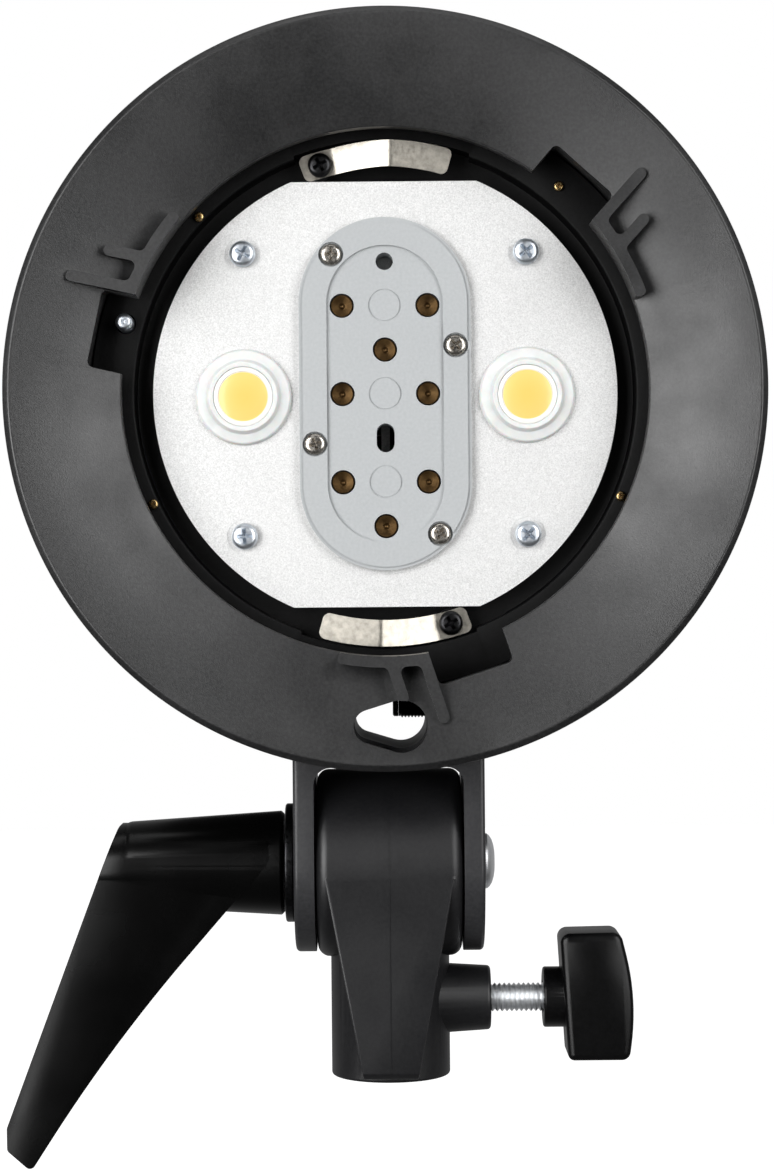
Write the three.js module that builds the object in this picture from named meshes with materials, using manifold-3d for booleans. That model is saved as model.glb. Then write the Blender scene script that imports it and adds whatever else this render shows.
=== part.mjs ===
// Monolight strobe: bayonet mount head in a tilting yoke on a stand receiver.
// Millimetres, +Z up, lamp facing -Y. Origin: centre of the mouth of the stand socket.
import * as THREE from "three";
import { mergeVertices } from "three/addons/utils/BufferGeometryUtils.js";
import Module from "manifold-3d";

const wasm = await Module();
wasm.setup();

// ---------- driving dimensions ----------
const GAP = 0.3; // clearance between neighbouring pieces
const TILT_Z = 44; // tilt axis above the socket mouth
const HEAD_Z = 140; // lamp axis above the socket mouth

const RING = { radius: 75, rimFront: -36, rimBack: -25, rimRound: 1.5, wall: 2.4, skin: 3 };
const MOUTH = { radius: 52.4, front: -28.5, lipBack: -25.3 }; // bayonet opening in the ring
const SLOT = { angles: [48, 168, 288], reach: 58.7, clockwise: 8.3, counter: 7.1 };
const RIB = { top: -34.4, width: 2.2, long: 65.8, short: 59.5, first: -9.5, second: -15.85 };
const CHAMBER = { outer: 59.1, ledge: 50.4, ledgeFront: -20.5, floor: -17.2, back: -12.5, bore: 34 };
const PLATE = { radius: 46.7, flat: 42.8, front: -19.5, back: -17.5, screwX: 28.5, screwZ: 28.4 };
const SOCKET = { width: 34.5, height: 70.9, front: -21.6, back: -13, pitch: 8.86, pairX: 8.6 };
const LAMP = { x: 28.5, z: -0.4, seal: 9.7, collar: 7.1, chip: 5.7 };
const SPRING = { inner: 45.4, outer: 50.7, from: 74, to: 110, corner: 1.4, thick: 0.6, bow: 4.2 };
const SPRING_SCREW = { radius: 47.9, angle: 105.5 };
const PIN = { radius: 54, angle: 164.4, d: 3.5, tip: -25 };
const HOUSING = { width: 124, height: 112, corner: 34, front: -8, back: 103, wall: 2.5, flange: 60.5 };
const PANEL = { front: 103.3, back: 109 };
const BATTERY = { width: 84, top: -14, bottom: -50, front: 22, back: 109.6 };
const YOKE = { inner: 15.2, outer: 19.4, halfDepth: 18.4, bridgeBottom: 64.8, bridgeBack: 12 };
const UMBRELLA = { z: HEAD_Z - 66.2, wideX: 2.7, wideR: 5.1, narrowX: -3.5, narrowR: 3.3 };
const UMBRELLA_SCREW = { y: 8, z: HEAD_Z - 64, tip: 1, pitch: 0.7, r: 2.4 };
const BARREL = { halfWidth: 14.9, radius: 19.4, edge: 2.5 };
const STEM = { radius: 12.3, bore: 8.15, boreTop: 36 };
const CLAMP = { z: 15.6, bossEnd: 20.8, bossRoot: 7.4, bossTip: 6.6, pitch: 1, r: 3, collar: 31.7 };
const LEVER = { x: -21.8, hubEnd: -54.5, hubRoot: 10.8, hubTip: 8.7, skin: 0.15 };

// ---------- solids ----------

// A closed geometry as a solid that faces outwards.
function solid(geometry) {
  const loose = geometry.index ? geometry.toNonIndexed() : geometry;
  const bare = new THREE.BufferGeometry();
  bare.setAttribute("position", loose.getAttribute("position"));
  const merged = mergeVertices(bare, 1e-4);
  const corners = new Uint32Array(merged.index.array);
  const vertices = merged.getAttribute("position").array;
  const build = () =>
    new wasm.Manifold(new wasm.Mesh({ numProp: 3, vertProperties: vertices, triVerts: corners }));
  const made = build();
  if (made.volume() > 0) return made;
  for (let i = 0; i < corners.length; i += 3) {
    [corners[i], corners[i + 1]] = [corners[i + 1], corners[i]];
  }
  return build();
}

const joined = (first, ...rest) => rest.reduce((sum, next) => sum.add(next), first);
const cut = (first, ...rest) => rest.reduce((left, next) => left.subtract(next), first);

// Turn a geometry built along its own Y axis so that it runs along x, y or z.
const ALONG = {
  x: (geometry) => geometry.rotateZ(-Math.PI / 2),
  y: (geometry) => geometry,
  z: (geometry) => geometry.rotateX(Math.PI / 2),
};

// Body of revolution; the profile is a loop of [radius, position along the axis].
function turned(profile, axis = "y", segments = 32) {
  const points = [...profile, profile[0]].map(([r, a]) => new THREE.Vector2(r, a));
  return solid(ALONG[axis](new THREE.LatheGeometry(points, segments)));
}

function rod(radius, from, to, axis = "y", segments = 14) {
  const profile = [[0, from], [radius, from], [radius, to], [0, to]];
  return turned(profile, axis, segments);
}

function block([x0, x1], [y0, y1], [z0, z1]) {
  const box = new THREE.BoxGeometry(x1 - x0, y1 - y0, z1 - z0);
  return solid(box.translate((x0 + x1) / 2, (y0 + y1) / 2, (z0 + z1) / 2));
}

// Closed outline through corners [u, v, radius]; a radius rounds its corner with an arc.
function outline(corners, steps = 5) {
  const at = (i) => new THREE.Vector2(...corners.at(i % corners.length));
  const points = corners.flatMap(([u, v, radius = 0], i) => {
    const here = new THREE.Vector2(u, v);
    if (!radius) return [here];
    const back = at(i - 1).sub(here).normalize();
    const on = at(i + 1).sub(here).normalize();
    const half = Math.acos(back.dot(on)) / 2;
    const centre = back.clone().add(on).setLength(radius / Math.sin(half)).add(here);
    const start = back.multiplyScalar(radius / Math.tan(half)).add(here).sub(centre);
    const end = on.multiplyScalar(radius / Math.tan(half)).add(here).sub(centre);
    const turn = Math.atan2(start.cross(end), start.dot(end));
    return Array.from({ length: steps + 1 }, (_, k) =>
      start.clone().rotateAround(new THREE.Vector2(), (turn * k) / steps).add(centre),
    );
  });
  return new THREE.Shape(points);
}

function roundedRect(width, height, corner, steps = 5) {
  const [u, v] = [width / 2, height / 2];
  return outline([[-u, -v, corner], [u, -v, corner], [u, v, corner], [-u, v, corner]], steps);
}

// Long-round outline with its long side upright.
function longRound(width, height) {
  const rise = (height - width) / 2;
  const shape = new THREE.Shape();
  shape.absarc(0, rise, width / 2, 0, Math.PI, false);
  shape.absarc(0, -rise, width / 2, Math.PI, 2 * Math.PI, false);
  return shape;
}

// Extrusion from one level to another, with an optional bevel inside the outline.
function extruded(shape, from, to, bevel = 0) {
  const geometry = new THREE.ExtrudeGeometry(shape, {
    depth: to - from - 2 * bevel,
    curveSegments: 6,
    bevelEnabled: bevel > 0,
    bevelThickness: bevel,
    bevelSize: bevel,
    bevelOffset: -bevel,
    bevelSegments: 1,
  });
  return geometry.translate(0, 0, from + bevel);
}

// Outline in x and z, extruded from front to back along y.
function slab(shape, front, back, bevel = 0) {
  return solid(extruded(shape, -back, -front, bevel).rotateX(Math.PI / 2));
}

// Outline in y and z, extruded along x.
function sidewise(shape, from, to, bevel = 0) {
  const upright = new THREE.Matrix4().makeBasis(
    new THREE.Vector3(0, 1, 0),
    new THREE.Vector3(0, 0, 1),
    new THREE.Vector3(1, 0, 0),
  );
  return solid(extruded(shape, from, to, bevel).applyMatrix4(upright));
}

// Point on a circle about the lamp axis, angle from +X towards +Z in degrees.
function polar(radius, degrees) {
  const angle = THREE.MathUtils.degToRad(degrees);
  return [radius * Math.cos(angle), radius * Math.sin(angle)];
}

const moved = (made, x, y, z) => made.translate([x, y, z]);
const turnedAbout = (made, degrees) => made.rotate([0, -degrees, 0]); // about the lamp axis

// Rod with a helical vee thread along x. Crest and root lines are helices, one of each per turn.
function threadedRod(radius, pitch, from, to, segments = 14) {
  const rows = Math.ceil((2 * (to - from)) / pitch) + 4;
  const depth = 0.58 * pitch;
  const vertex = (row, step) => {
    const r = row % 2 ? radius - depth : radius;
    const angle = (2 * Math.PI * step) / segments;
    const x = from + pitch * (row / 2 - 1.5 + step / segments);
    return [x, r * Math.cos(angle), r * Math.sin(angle)];
  };
  const wrapped = (row, step) => (step === segments ? vertex(row + 2, 0) : vertex(row, step));
  const corners = [];
  for (let row = 0; row < rows; row += 1) {
    for (let step = 0; step < segments; step += 1) {
      const [a, b] = [wrapped(row, step), wrapped(row, step + 1)];
      const [c, d] = [wrapped(row + 1, step), wrapped(row + 1, step + 1)];
      corners.push(a, b, c, b, d, c);
    }
  }
  for (const [row, turn] of [[0, 1], [rows, -1]]) {
    const loop = Array.from({ length: segments + 1 }, (_, step) => wrapped(row, step));
    loop.push(vertex(row + 1, 0));
    const hub = [loop[0][0], 0, 0];
    loop.forEach((here, i) => {
      const next = loop[(i + 1) % loop.length];
      corners.push(...(turn > 0 ? [hub, next, here] : [hub, here, next]));
    });
  }
  const geometry = new THREE.BufferGeometry();
  geometry.setAttribute("position", new THREE.Float32BufferAttribute(corners.flat(), 3));
  const trim = turned([[0, from], [radius - depth, from], [radius + 1, from + depth + 1],
    [radius + 1, to], [0, to]], "x", segments);
  return solid(geometry).intersect(trim);
}

// Pan-head machine screw facing -Y: domed head on `seat`, cross recess, shank behind it.
function panScrew(headR, headHeight, shankR, seat, length, segments = 10) {
  const top = seat - headHeight;
  const body = turned([[0, top], [0.55 * headR, top + 0.08 * headHeight],
    [0.88 * headR, top + 0.4 * headHeight], [headR, seat], [shankR, seat],
    [shankR, seat + length], [0, seat + length]], "y", segments);
  const [arm, half, deep] = [0.62 * headR, 0.13 * headR, top + 0.62 * headHeight];
  const bar = block([-arm, arm], [top - 1, deep], [-half, half]);
  return cut(body, bar, bar.rotate([0, 90, 0]));
}

// ---------- assembly ----------

const FINISH = {
  moulded: { color: 0x1b1b1c, roughness: 0.6, metalness: 0 },
  cast: { color: 0x242527, roughness: 0.55, metalness: 0.1 },
  chamber: { color: 0x101011, roughness: 0.7, metalness: 0 },
  alloy: { color: 0xe4e4e2, roughness: 0.4, metalness: 1 },
  grey: { color: 0xc3c6c8, roughness: 0.5, metalness: 0 },
  brass: { color: 0xb08a4a, roughness: 0.35, metalness: 1 },
  zinc: { color: 0xc9ced2, roughness: 0.3, metalness: 1 },
  nickel: { color: 0xcfc9bd, roughness: 0.25, metalness: 1 },
  blackened: { color: 0x151515, roughness: 0.4, metalness: 0.8 },
  silicone: { color: 0xeef0ee, roughness: 0.3, metalness: 0 },
  phosphor: { color: 0xf7d14a, roughness: 0.5, metalness: 0 },
  glass: { color: 0x0c1014, roughness: 0.08, metalness: 0 },
  board: { color: 0x1c5a36, roughness: 0.5, metalness: 0 },
  sleeve: { color: 0x1d2a55, roughness: 0.3, metalness: 0 },
  red: { color: 0xa4231c, roughness: 0.5, metalness: 0 },
};

const root = new THREE.Group();
const head = new THREE.Group();
head.position.z = HEAD_Z;
root.add(head);

function place(group, name, finish, made) {
  const { vertProperties, triVerts } = made.getMesh();
  const geometry = new THREE.BufferGeometry();
  geometry.setAttribute("position", new THREE.BufferAttribute(vertProperties, 3));
  geometry.setIndex(new THREE.BufferAttribute(triVerts, 1));
  geometry.computeVertexNormals();
  const mesh = new THREE.Mesh(geometry, new THREE.MeshStandardMaterial(FINISH[finish]));
  mesh.name = name;
  group.add(mesh);
}

// Through-hole for an umbrella shaft: a wide round merging into a narrow one, grown by `extra`.
function umbrellaHole(extra = 0) {
  const { wideX, wideR, narrowX, narrowR } = UMBRELLA;
  const lean = Math.asin((wideR - narrowR) / (wideX - narrowX));
  const arc = (x, r, from, to, steps) =>
    Array.from({ length: steps + 1 }, (_, k) => {
      const angle = from + ((to - from) * k) / steps;
      return new THREE.Vector2(x + r * Math.cos(angle), r * Math.sin(angle));
    });
  const side = Math.PI / 2 + lean;
  const wide = arc(wideX, wideR + extra, -side, side, 14);
  const narrow = arc(narrowX, narrowR + extra, side, 2 * Math.PI - side, 8);
  return new THREE.Shape([...wide, ...narrow]);
}

// ---------- bayonet mount ----------

const coneAt = (radius) => {
  const slope = (RING.rimFront - MOUTH.front) / (RING.radius - RING.rimRound - MOUTH.radius);
  return MOUTH.front + slope * (radius - MOUTH.radius);
};

// Bayonet slot through the lip, drawn pointing along +X and turned into place.
function bayonetSlot(angle) {
  const shape = outline([
    [40, -SLOT.clockwise],
    [SLOT.reach, -SLOT.clockwise, 1.2],
    [SLOT.reach, SLOT.counter, 1.2],
    [40, SLOT.counter],
  ]);
  return turnedAbout(slab(shape, RING.rimFront - 4, MOUTH.lipBack + 1), angle);
}

// F-shaped stop beside a slot: an arm along the mouth and two prongs pointing outwards.
function stopRib(angle) {
  const half = RIB.width / 2;
  const base = MOUTH.front + 1;
  const prong = (at, reach) =>
    slab(outline([
      [MOUTH.radius - 3.4, at - half],
      [reach, at - half, half - 0.01],
      [reach, at + half, half - 0.01],
      [MOUTH.radius - 3.4, at + half],
    ]), RIB.top, base);
  const arm = turned([[MOUTH.radius, RIB.top], [MOUTH.radius + RIB.width, RIB.top],
    [MOUTH.radius + RIB.width, base], [MOUTH.radius, base]], "y", 60);
  const [x0, z0] = polar(80, -28.5);
  const [x1, z1] = polar(80, -11.5);
  const sector = slab(new THREE.Shape([
    new THREE.Vector2(0, 0),
    new THREE.Vector2(x0, z0),
    new THREE.Vector2(x1, z1),
  ]), RIB.top - 1, base + 1);
  const mouth = rod(MOUTH.radius, RIB.top - 1, base + 1, "y", 60);
  const rib = cut(joined(prong(RIB.first, RIB.long), prong(RIB.second, RIB.short)), mouth);
  return turnedAbout(rib.add(arm.intersect(sector)), angle);
}

function mountRing() {
  const { radius, rimFront, rimBack, rimRound, wall, skin } = RING;
  const crown = radius - rimRound;
  const wallOuter = CHAMBER.outer + GAP + 2.6;
  const inner = CHAMBER.outer + GAP;
  const dish = turned([
    [MOUTH.radius, MOUTH.front + 0.4],
    [MOUTH.radius + 0.5, coneAt(MOUTH.radius + 0.5)],
    [crown - 0.6, coneAt(crown - 0.6)],
    [crown + 0.4, rimFront + 0.06],
    [radius - 0.35, rimFront + 0.6],
    [radius, rimFront + rimRound],
    [radius, rimBack],
    [radius - wall, rimBack],
    [radius - wall, coneAt(radius - wall) + skin],
    [wallOuter, coneAt(wallOuter) + skin],
    [wallOuter, CHAMBER.back],
    [inner, CHAMBER.back],
    [inner, MOUTH.lipBack],
    [MOUTH.radius, MOUTH.lipBack],
  ], "y", 60);
  const tunnelZ = UMBRELLA.z - HEAD_Z;
  const boss = moved(slab(umbrellaHole(2), -31, -YOKE.halfDepth - GAP), 0, 0, tunnelZ);
  const hole = moved(slab(umbrellaHole(), -45, 0), 0, 0, tunnelZ);
  const keep = rod(radius - 0.5, -40, 0, "y", 60);
  const clearCore = rod(inner, MOUTH.lipBack, 0, "y", 60);
  const bossRing = cut(boss.intersect(keep), clearCore);
  return cut(joined(dish, bossRing, ...SLOT.angles.map(stopRib)), hole,
    ...SLOT.angles.map(bayonetSlot));
}

// Places on the chamber ledge as [radius, angle]; the first one shows through a bayonet slot.
const BRASS_SCREWS = [[54.3, 49.6], [51.6, 136], [51.6, 205], [51.6, 336]];
const PLATE_SCREWS = [[1, 1], [-1, 1], [-1, -1], [1, -1]].map(([sx, sz]) =>
  [sx * PLATE.screwX, sz * PLATE.screwZ]);
const springScrewAt = (turn) => polar(SPRING_SCREW.radius, SPRING_SCREW.angle + turn);

function mountChamber() {
  const { outer, ledge, ledgeFront, floor, back, bore } = CHAMBER;
  const grooveFloor = floor + 2.7;
  const body = turned([
    [bore, floor],
    [PLATE.radius - 1.2, floor],
    [PLATE.radius - 1.2, grooveFloor],
    [ledge, grooveFloor],
    [ledge, ledgeFront],
    [outer, ledgeFront],
    [outer, back],
    [bore, back],
  ], "y", 60);
  const pocketBand = (sign) => {
    const [near, far] = [sign * (PLATE.flat + GAP), sign * ledge];
    const band = block([-24, 24], [floor - 1, grooveFloor], [Math.min(near, far), Math.max(near, far)]);
    return band.intersect(rod(ledge, floor - 2, back, "y", 60));
  };
  const springPocket = (turn) => {
    const rim = SPRING.outer + 0.5;
    const band = block([-18, 17.3], [ledgeFront - 1, grooveFloor], [PLATE.flat + GAP, rim]);
    return turnedAbout(band.intersect(rod(rim, ledgeFront - 2, back, "y", 60)), turn);
  };
  const springSeat = (turn) => {
    const [x, z] = springScrewAt(turn);
    return moved(rod(2.6, floor - 0.9, back - 0.5), x, 0, z);
  };
  const seatBore = (turn) => {
    const [x, z] = springScrewAt(turn);
    return moved(rod(1.35, -30, back + 1), x, 0, z);
  };
  const brassBores = BRASS_SCREWS.map(([radius, angle]) => {
    const [x, z] = polar(radius, angle);
    return moved(rod(0.8, -30, 0, "y", 8), x, 0, z);
  });
  const plateBores = PLATE_SCREWS.map(([x, z]) => moved(rod(1.8, -30, 0), x, 0, z));
  const [pinX, pinZ] = polar(PIN.radius, PIN.angle);
  const pinBore = moved(rod(PIN.d / 2 + GAP, -30, 0), pinX, 0, pinZ);
  const hollowed = cut(body, pocketBand(1), pocketBand(-1), springPocket(0), springPocket(180));
  const seated = joined(hollowed, springSeat(0), springSeat(180));
  return cut(seated, seatBore(0), seatBore(180), pinBore, ...brassBores, ...plateBores);
}

// Leaf spring: a strip bowed towards the front, its plan an arc with rounded corners.
function leafSpring(turn) {
  const { inner, outer, from, to, corner, thick, bow } = SPRING;
  const seat = CHAMBER.floor - 0.9 - GAP;
  const steps = 20;
  const rise = (t) => Math.sin(Math.PI * Math.min(1, Math.max(0, (t - 0.02) / 0.76))) ** 2;
  const section = Array.from({ length: steps + 1 }, (_, k) => {
    const t = k / steps;
    const [x] = polar((inner + outer) / 2, from + (to - from) * t);
    return new THREE.Vector2(x, seat - bow * rise(t));
  });
  const under = section.map(({ x, y }) => new THREE.Vector2(x, y - thick)).reverse();
  const band = solid(extruded(new THREE.Shape([...section, ...under]), PLATE.flat + 2 * GAP, 52));
  const spans = 8;
  const edge = (radius, start, end) => Array.from({ length: spans + 1 }, (_, k) => {
    const rounding = k % spans ? 0 : corner;
    return [...polar(radius, start + ((end - start) * k) / spans), rounding];
  });
  const plan = slab(outline([...edge(inner, from, to), ...edge(outer, to, from)]), -30, -10);
  const [sx, sz] = springScrewAt(0);
  const bore = moved(rod(1.5, -40, 0), sx, 0, sz);
  return turnedAbout(cut(band.intersect(plan), bore), turn);
}

// ---------- front plate, lamps and tube socket ----------

function frontPlate() {
  const { radius, flat, front, back } = PLATE;
  const round = rod(radius, front, back, "y", 60);
  const trimmed = round.intersect(slab(roundedRect(120, 2 * flat, 1), front - 1, back + 1));
  const opening = slab(longRound(SOCKET.width - 2.5, SOCKET.height - 2.5), front - 1, back + 1);
  const screws = PLATE_SCREWS.map(([x, z]) => moved(rod(1.8, -30, 0), x, 0, z));
  const lamps = [-1, 1].map((side) => moved(rod(LAMP.collar, -30, 0), side * LAMP.x, 0, LAMP.z));
  return cut(trimmed, opening, ...screws, ...lamps);
}

function lampSeal(side) {
  const { seal, collar, chip } = LAMP;
  const seat = PLATE.front - GAP;
  const ring = turned([
    [chip + GAP, seat - 2.4],
    [collar - 0.3, seat - 2.4],
    [collar, seat - 1.1],
    [seal - 0.4, seat - 0.8],
    [seal, seat],
    [collar - GAP, seat],
    [collar - GAP, PLATE.back],
    [chip + GAP, PLATE.back],
  ], "y", 20);
  return moved(ring, side * LAMP.x, 0, LAMP.z);
}

function lampChip(side) {
  const face = PLATE.front - GAP - 1.9;
  const { chip } = LAMP;
  const body = turned([
    [0, face - 0.25],
    [4.9, face - 0.25],
    [5, face],
    [chip, face],
    [chip, PLATE.back],
    [0, PLATE.back],
  ], "y", 20);
  return moved(body, side * LAMP.x, 0, LAMP.z);
}

// Contact rows, counted in pitches above the middle of the socket.
const CONTACTS = [2, 1, 0, -2, -3].flatMap((row) => {
  const z = row * SOCKET.pitch;
  return row % 2 ? [[0, z]] : [[-SOCKET.pairX, z], [SOCKET.pairX, z]];
});
const SOCKET_SCREWS = [[-10.7, 28], [14.2, 9.6], [-14.2, -10], [10.8, -28.2]];

function lampSocket() {
  const { width, height, front, back, pitch } = SOCKET;
  const seat = PLATE.front - GAP;
  const flange = slab(longRound(width, height), front, seat, 0.5);
  const body = slab(longRound(width - 4.5, height - 4.5), seat - 0.5, back);
  const recess = slab(longRound(23.4, 59.6), front - 1, front + 0.6);
  const keyHole = moved(rod(1.75, -30, front + 5), 0, 0, 3 * pitch);
  const keySlot = moved(slab(longRound(3.6, 5.8), -30, front + 5), 0, 0, -pitch);
  const bores = CONTACTS.map(([x, z]) => moved(rod(2.15 + GAP, -30, 0), x, 0, z));
  const screwBores = SOCKET_SCREWS.flatMap(([x, z]) => [
    moved(rod(2.5, -30, front + 1.1), x, 0, z),
    moved(rod(1.3, -30, 0, "y", 8), x, 0, z),
  ]);
  return cut(flange.add(body), recess, keyHole, keySlot, ...bores, ...screwBores);
}

function contact() {
  const front = SOCKET.front + 0.7;
  return turned([
    [1.65, front],
    [2.15, front],
    [2.15, SOCKET.back + 0.5],
    [0, SOCKET.back + 0.5],
    [0, front + 5.5],
    [1.65, front + 3.8],
  ], "y", 10);
}

// ---------- housing and what it holds ----------

function ventSlots(side) {
  return Array.from({ length: 6 }, (_, k) => {
    const y = 34 + 6 * k;
    const slot = outline([[y, -2, 1.4], [y + 3, -2, 1.4], [y + 3, 30, 1.4], [y, 30, 1.4]], 2);
    return sidewise(slot, side * 60 - 6, side * 60 + 6);
  });
}

function housingShell() {
  const { width, height, corner, front, back, wall, flange } = HOUSING;
  const outer = slab(roundedRect(width, height, corner, 6), front, back + 2, 2);
  const trimmed = outer.intersect(block([-80, 80], [front - 1, back], [-80, 80]));
  const seat = rod(flange, CHAMBER.back + GAP, front + 1, "y", 60);
  const cavity = slab(roundedRect(width - 2 * wall, height - 2 * wall, corner - wall, 6),
    front + 4, back + 1);
  const bore = rod(CHAMBER.bore + 2, -20, 0, "y", 64);
  const [pinX, pinZ] = polar(PIN.radius, PIN.angle);
  const pinBore = moved(rod(PIN.d / 2 + GAP, -30, 0), pinX, 0, pinZ);
  const tabSlot = block([-70, -50], [-0.5, 12.5], [pinZ - 5.6, pinZ + 5.6]);
  return cut(trimmed.add(seat), cavity, bore, pinBore, tabSlot, ...ventSlots(1), ...ventSlots(-1));
}

const CONTROLS = {
  display: { x: -17, z: 29, width: 54, height: 28 },
  dial: { x: 33, z: 29, r: 13 },
  jack: { x: 47, z: 3, r: 1.9 },
  power: { x: -34, z: 3, width: 16, height: 7 },
  mode: { x: -8, z: 3, width: 16, height: 7 },
  test: { x: 24, z: 3, width: 12, height: 7 },
  latch: { x: 0, z: -8, width: 18, height: 4 },
};

function rearPanel() {
  const { width, height, corner, wall } = HOUSING;
  const { front, back } = PANEL;
  const cover = slab(roundedRect(width, height, corner, 6), front - 2, back, 2)
    .intersect(block([-80, 80], [front, back + 1], [-80, 80]));
  const lip = slab(roundedRect(width - 2 * wall - 0.8, height - 2 * wall - 0.8, corner - 3, 6),
    front - 3, front + 0.5);
  const hollow = slab(roundedRect(width - 2 * wall - 5, height - 2 * wall - 5, corner - 5, 6),
    front - 4, back - 2.6);
  const hole = ({ x, z, width: w, height: h }, corners = 1) =>
    moved(slab(roundedRect(w + 2 * GAP, h + 2 * GAP, corners), front - 5, back + 1), x, 0, z);
  const { display, dial, jack, power, mode, test, latch } = CONTROLS;
  const latchSlot = moved(hole(latch), 0, 0, 1.5).add(hole(latch));
  const batteryHole = slab(outline([
    [-BATTERY.width / 2 - GAP, BATTERY.bottom - GAP, 5],
    [BATTERY.width / 2 + GAP, BATTERY.bottom - GAP, 5],
    [BATTERY.width / 2 + GAP, BATTERY.top + GAP, 3],
    [-BATTERY.width / 2 - GAP, BATTERY.top + GAP, 3],
  ]), front - 5, back + 1);
  const window = moved(slab(roundedRect(display.width + 2 * GAP, display.height + 2 * GAP, 2.3),
    back - 1.6, back + 1), display.x, 0, display.z);
  const dialWell = moved(rod(dial.r + 0.6, back - 1.2, back + 1, "y", 40), dial.x, 0, dial.z);
  const dialBore = moved(rod(3 + GAP, front - 5, back + 1), dial.x, 0, dial.z);
  const jackBore = moved(rod(jack.r, front - 5, back + 1), jack.x, 0, jack.z);
  return cut(cover.add(lip), hollow, window, dialWell, dialBore, jackBore, batteryHole,
    latchSlot, hole(power, 2), hole(mode, 2), hole(test, 2));
}

function displayWindow() {
  const { x, z, width, height } = CONTROLS.display;
  return moved(slab(roundedRect(width, height, 2), PANEL.back - 1.3, PANEL.back - 0.3), x, 0, z);
}

// Knurled dial on a spindle that passes through the rear panel.
function controlDial() {
  const { x, z, r } = CONTROLS.dial;
  const face = PANEL.back + 10;
  const grips = 24;
  const edge = Array.from({ length: 2 * grips }, (_, k) => {
    const [u, v] = polar(k % 2 ? r - 0.7 : r, (180 * k) / grips);
    return new THREE.Vector2(u, v);
  });
  const knob = slab(new THREE.Shape(edge), PANEL.back - 0.7, face);
  const crown = turned([[0, PANEL.back - 1], [r + 1, PANEL.back - 1], [r + 1, face - 2.2],
    [r - 1.6, face], [r - 4, face - 0.6], [0, face - 0.9]], "y", 36);
  const spindle = rod(3, PANEL.front - 4, PANEL.back);
  return moved(knob.intersect(crown).add(spindle), x, 0, z);
}

// Push button: cap through the panel and a flange behind it that keeps it from falling out.
function pushButton({ x, z, width, height }) {
  const cap = slab(roundedRect(width, height, 1.8), PANEL.front + 0.5, PANEL.back + 1.4, 0.4);
  const flange = slab(roundedRect(width + 2, height + 2, 2), PANEL.front, PANEL.back - 2.6 - GAP);
  return moved(cap.add(flange), x, 0, z);
}

function batteryLatch() {
  const { x, z, width, height } = CONTROLS.latch;
  const thumb = slab(roundedRect(width, height, 0.8), PANEL.front + 0.5, PANEL.back + 1.6, 0.4);
  const flange = slab(roundedRect(width + 3, height + 0.4, 0.8), PANEL.front,
    PANEL.back - 2.6 - GAP);
  return moved(thumb.add(flange), x, 0, z);
}

function batteryPack() {
  const { width, top, bottom, front, back } = BATTERY;
  const shape = outline([
    [-width / 2, bottom, 4.6],
    [width / 2, bottom, 4.6],
    [width / 2, top, 2.6],
    [-width / 2, top, 2.6],
  ]);
  const body = slab(shape, front, back, 0.8);
  const grip = slab(outline([[-26, -43, 3], [26, -43, 3], [26, -31, 3], [-26, -31, 3]]),
    back - 3, back + 1);
  const terminals = [-12, 0, 12].map((x) =>
    block([x - 3, x + 3], [front - 1, front + 4], [-36, -28]));
  return cut(body, grip, ...terminals);
}

function heatSink() {
  const base = rod(CHAMBER.bore + 1.4, CHAMBER.back + GAP, -9, "y", 48);
  const fins = Array.from({ length: 9 }, (_, k) => {
    const x = (k - 4) * 7.2;
    return block([x - 0.9, x + 0.9], [-9.5, 10], [-40, 40]);
  });
  const finDisc = rod(CHAMBER.bore + 1.4, -12, 12, "y", 48);
  const clear = slab(longRound(20, 50), -20, -4);
  return cut(joined(base, ...fins).intersect(finDisc), clear);
}

function capacitor() {
  const can = turned([
    [0, 16],
    [20.5, 16],
    [21.5, 17],
    [21.5, 84],
    [20.3, 85.2],
    [17, 85.2],
    [16.4, 84.4],
    [0, 84.4],
  ], "y", 28);
  return moved(can, -28, 0, 22);
}

function mainBoard() {
  const board = block([-52, 52], [16, 97], [-10, -8.4]);
  const parts = [
    [[4, 22], [20, 40], [-8.6, 6]],
    [[26, 40], [24, 44], [-8.6, 0]],
    [[10, 36], [80, 94], [-8.6, -4]],
  ].map((spans) => block(...spans));
  return joined(board, ...parts);
}

const FAN = { x: 47, y: 50, z: 15.5, size: 46, half: 5, bore: 21 };

function fanFrame() {
  const { x, y, z, size, half, bore } = FAN;
  const frame = sidewise(roundedRect(size, size, 4), -half, half);
  const hub = rod(9, -half, -half + 1.5, "x");
  const arms = [0, 60, 120].map((angle) =>
    block([-half, -half + 1.5], [-bore - 0.5, bore + 0.5], [-1.2, 1.2]).rotate([angle, 0, 0]));
  const hollow = cut(frame, rod(bore, -half - 1, half + 1, "x", 48));
  return moved(joined(hollow, hub, ...arms), x, y, z);
}

function fanRotor() {
  const { x, y, z, half, bore } = FAN;
  const [from, to] = [-half + 1.5 + GAP, half - 0.5];
  const hub = rod(9, from, to, "x", 28);
  const blade = block([from + 1.5, from + 2.9], [-3.6, 3.6], [8, bore - 1])
    .translate([-(from + 2.2), 0, 0])
    .rotate([0, 0, 38])
    .translate([(from + to) / 2, 0, 0]);
  const blades = Array.from({ length: 7 }, (_, k) => blade.rotate([(360 * k) / 7, 0, 0]));
  const sweep = turned([[0, from], [bore - 0.8, from], [bore - 0.8, to], [0, to]], "x", 48);
  return moved(joined(hub, ...blades).intersect(sweep), x, y, z);
}

// ---------- bayonet lock ----------

function lockPin() {
  const [x, z] = polar(PIN.radius, PIN.angle);
  const r = PIN.d / 2;
  const pin = turned([[0, PIN.tip], [0.6 * r, PIN.tip + 0.1], [r, PIN.tip + 0.8], [r, 0.3], [0, 0.3]]);
  return moved(pin, x, 0, z);
}

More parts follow.
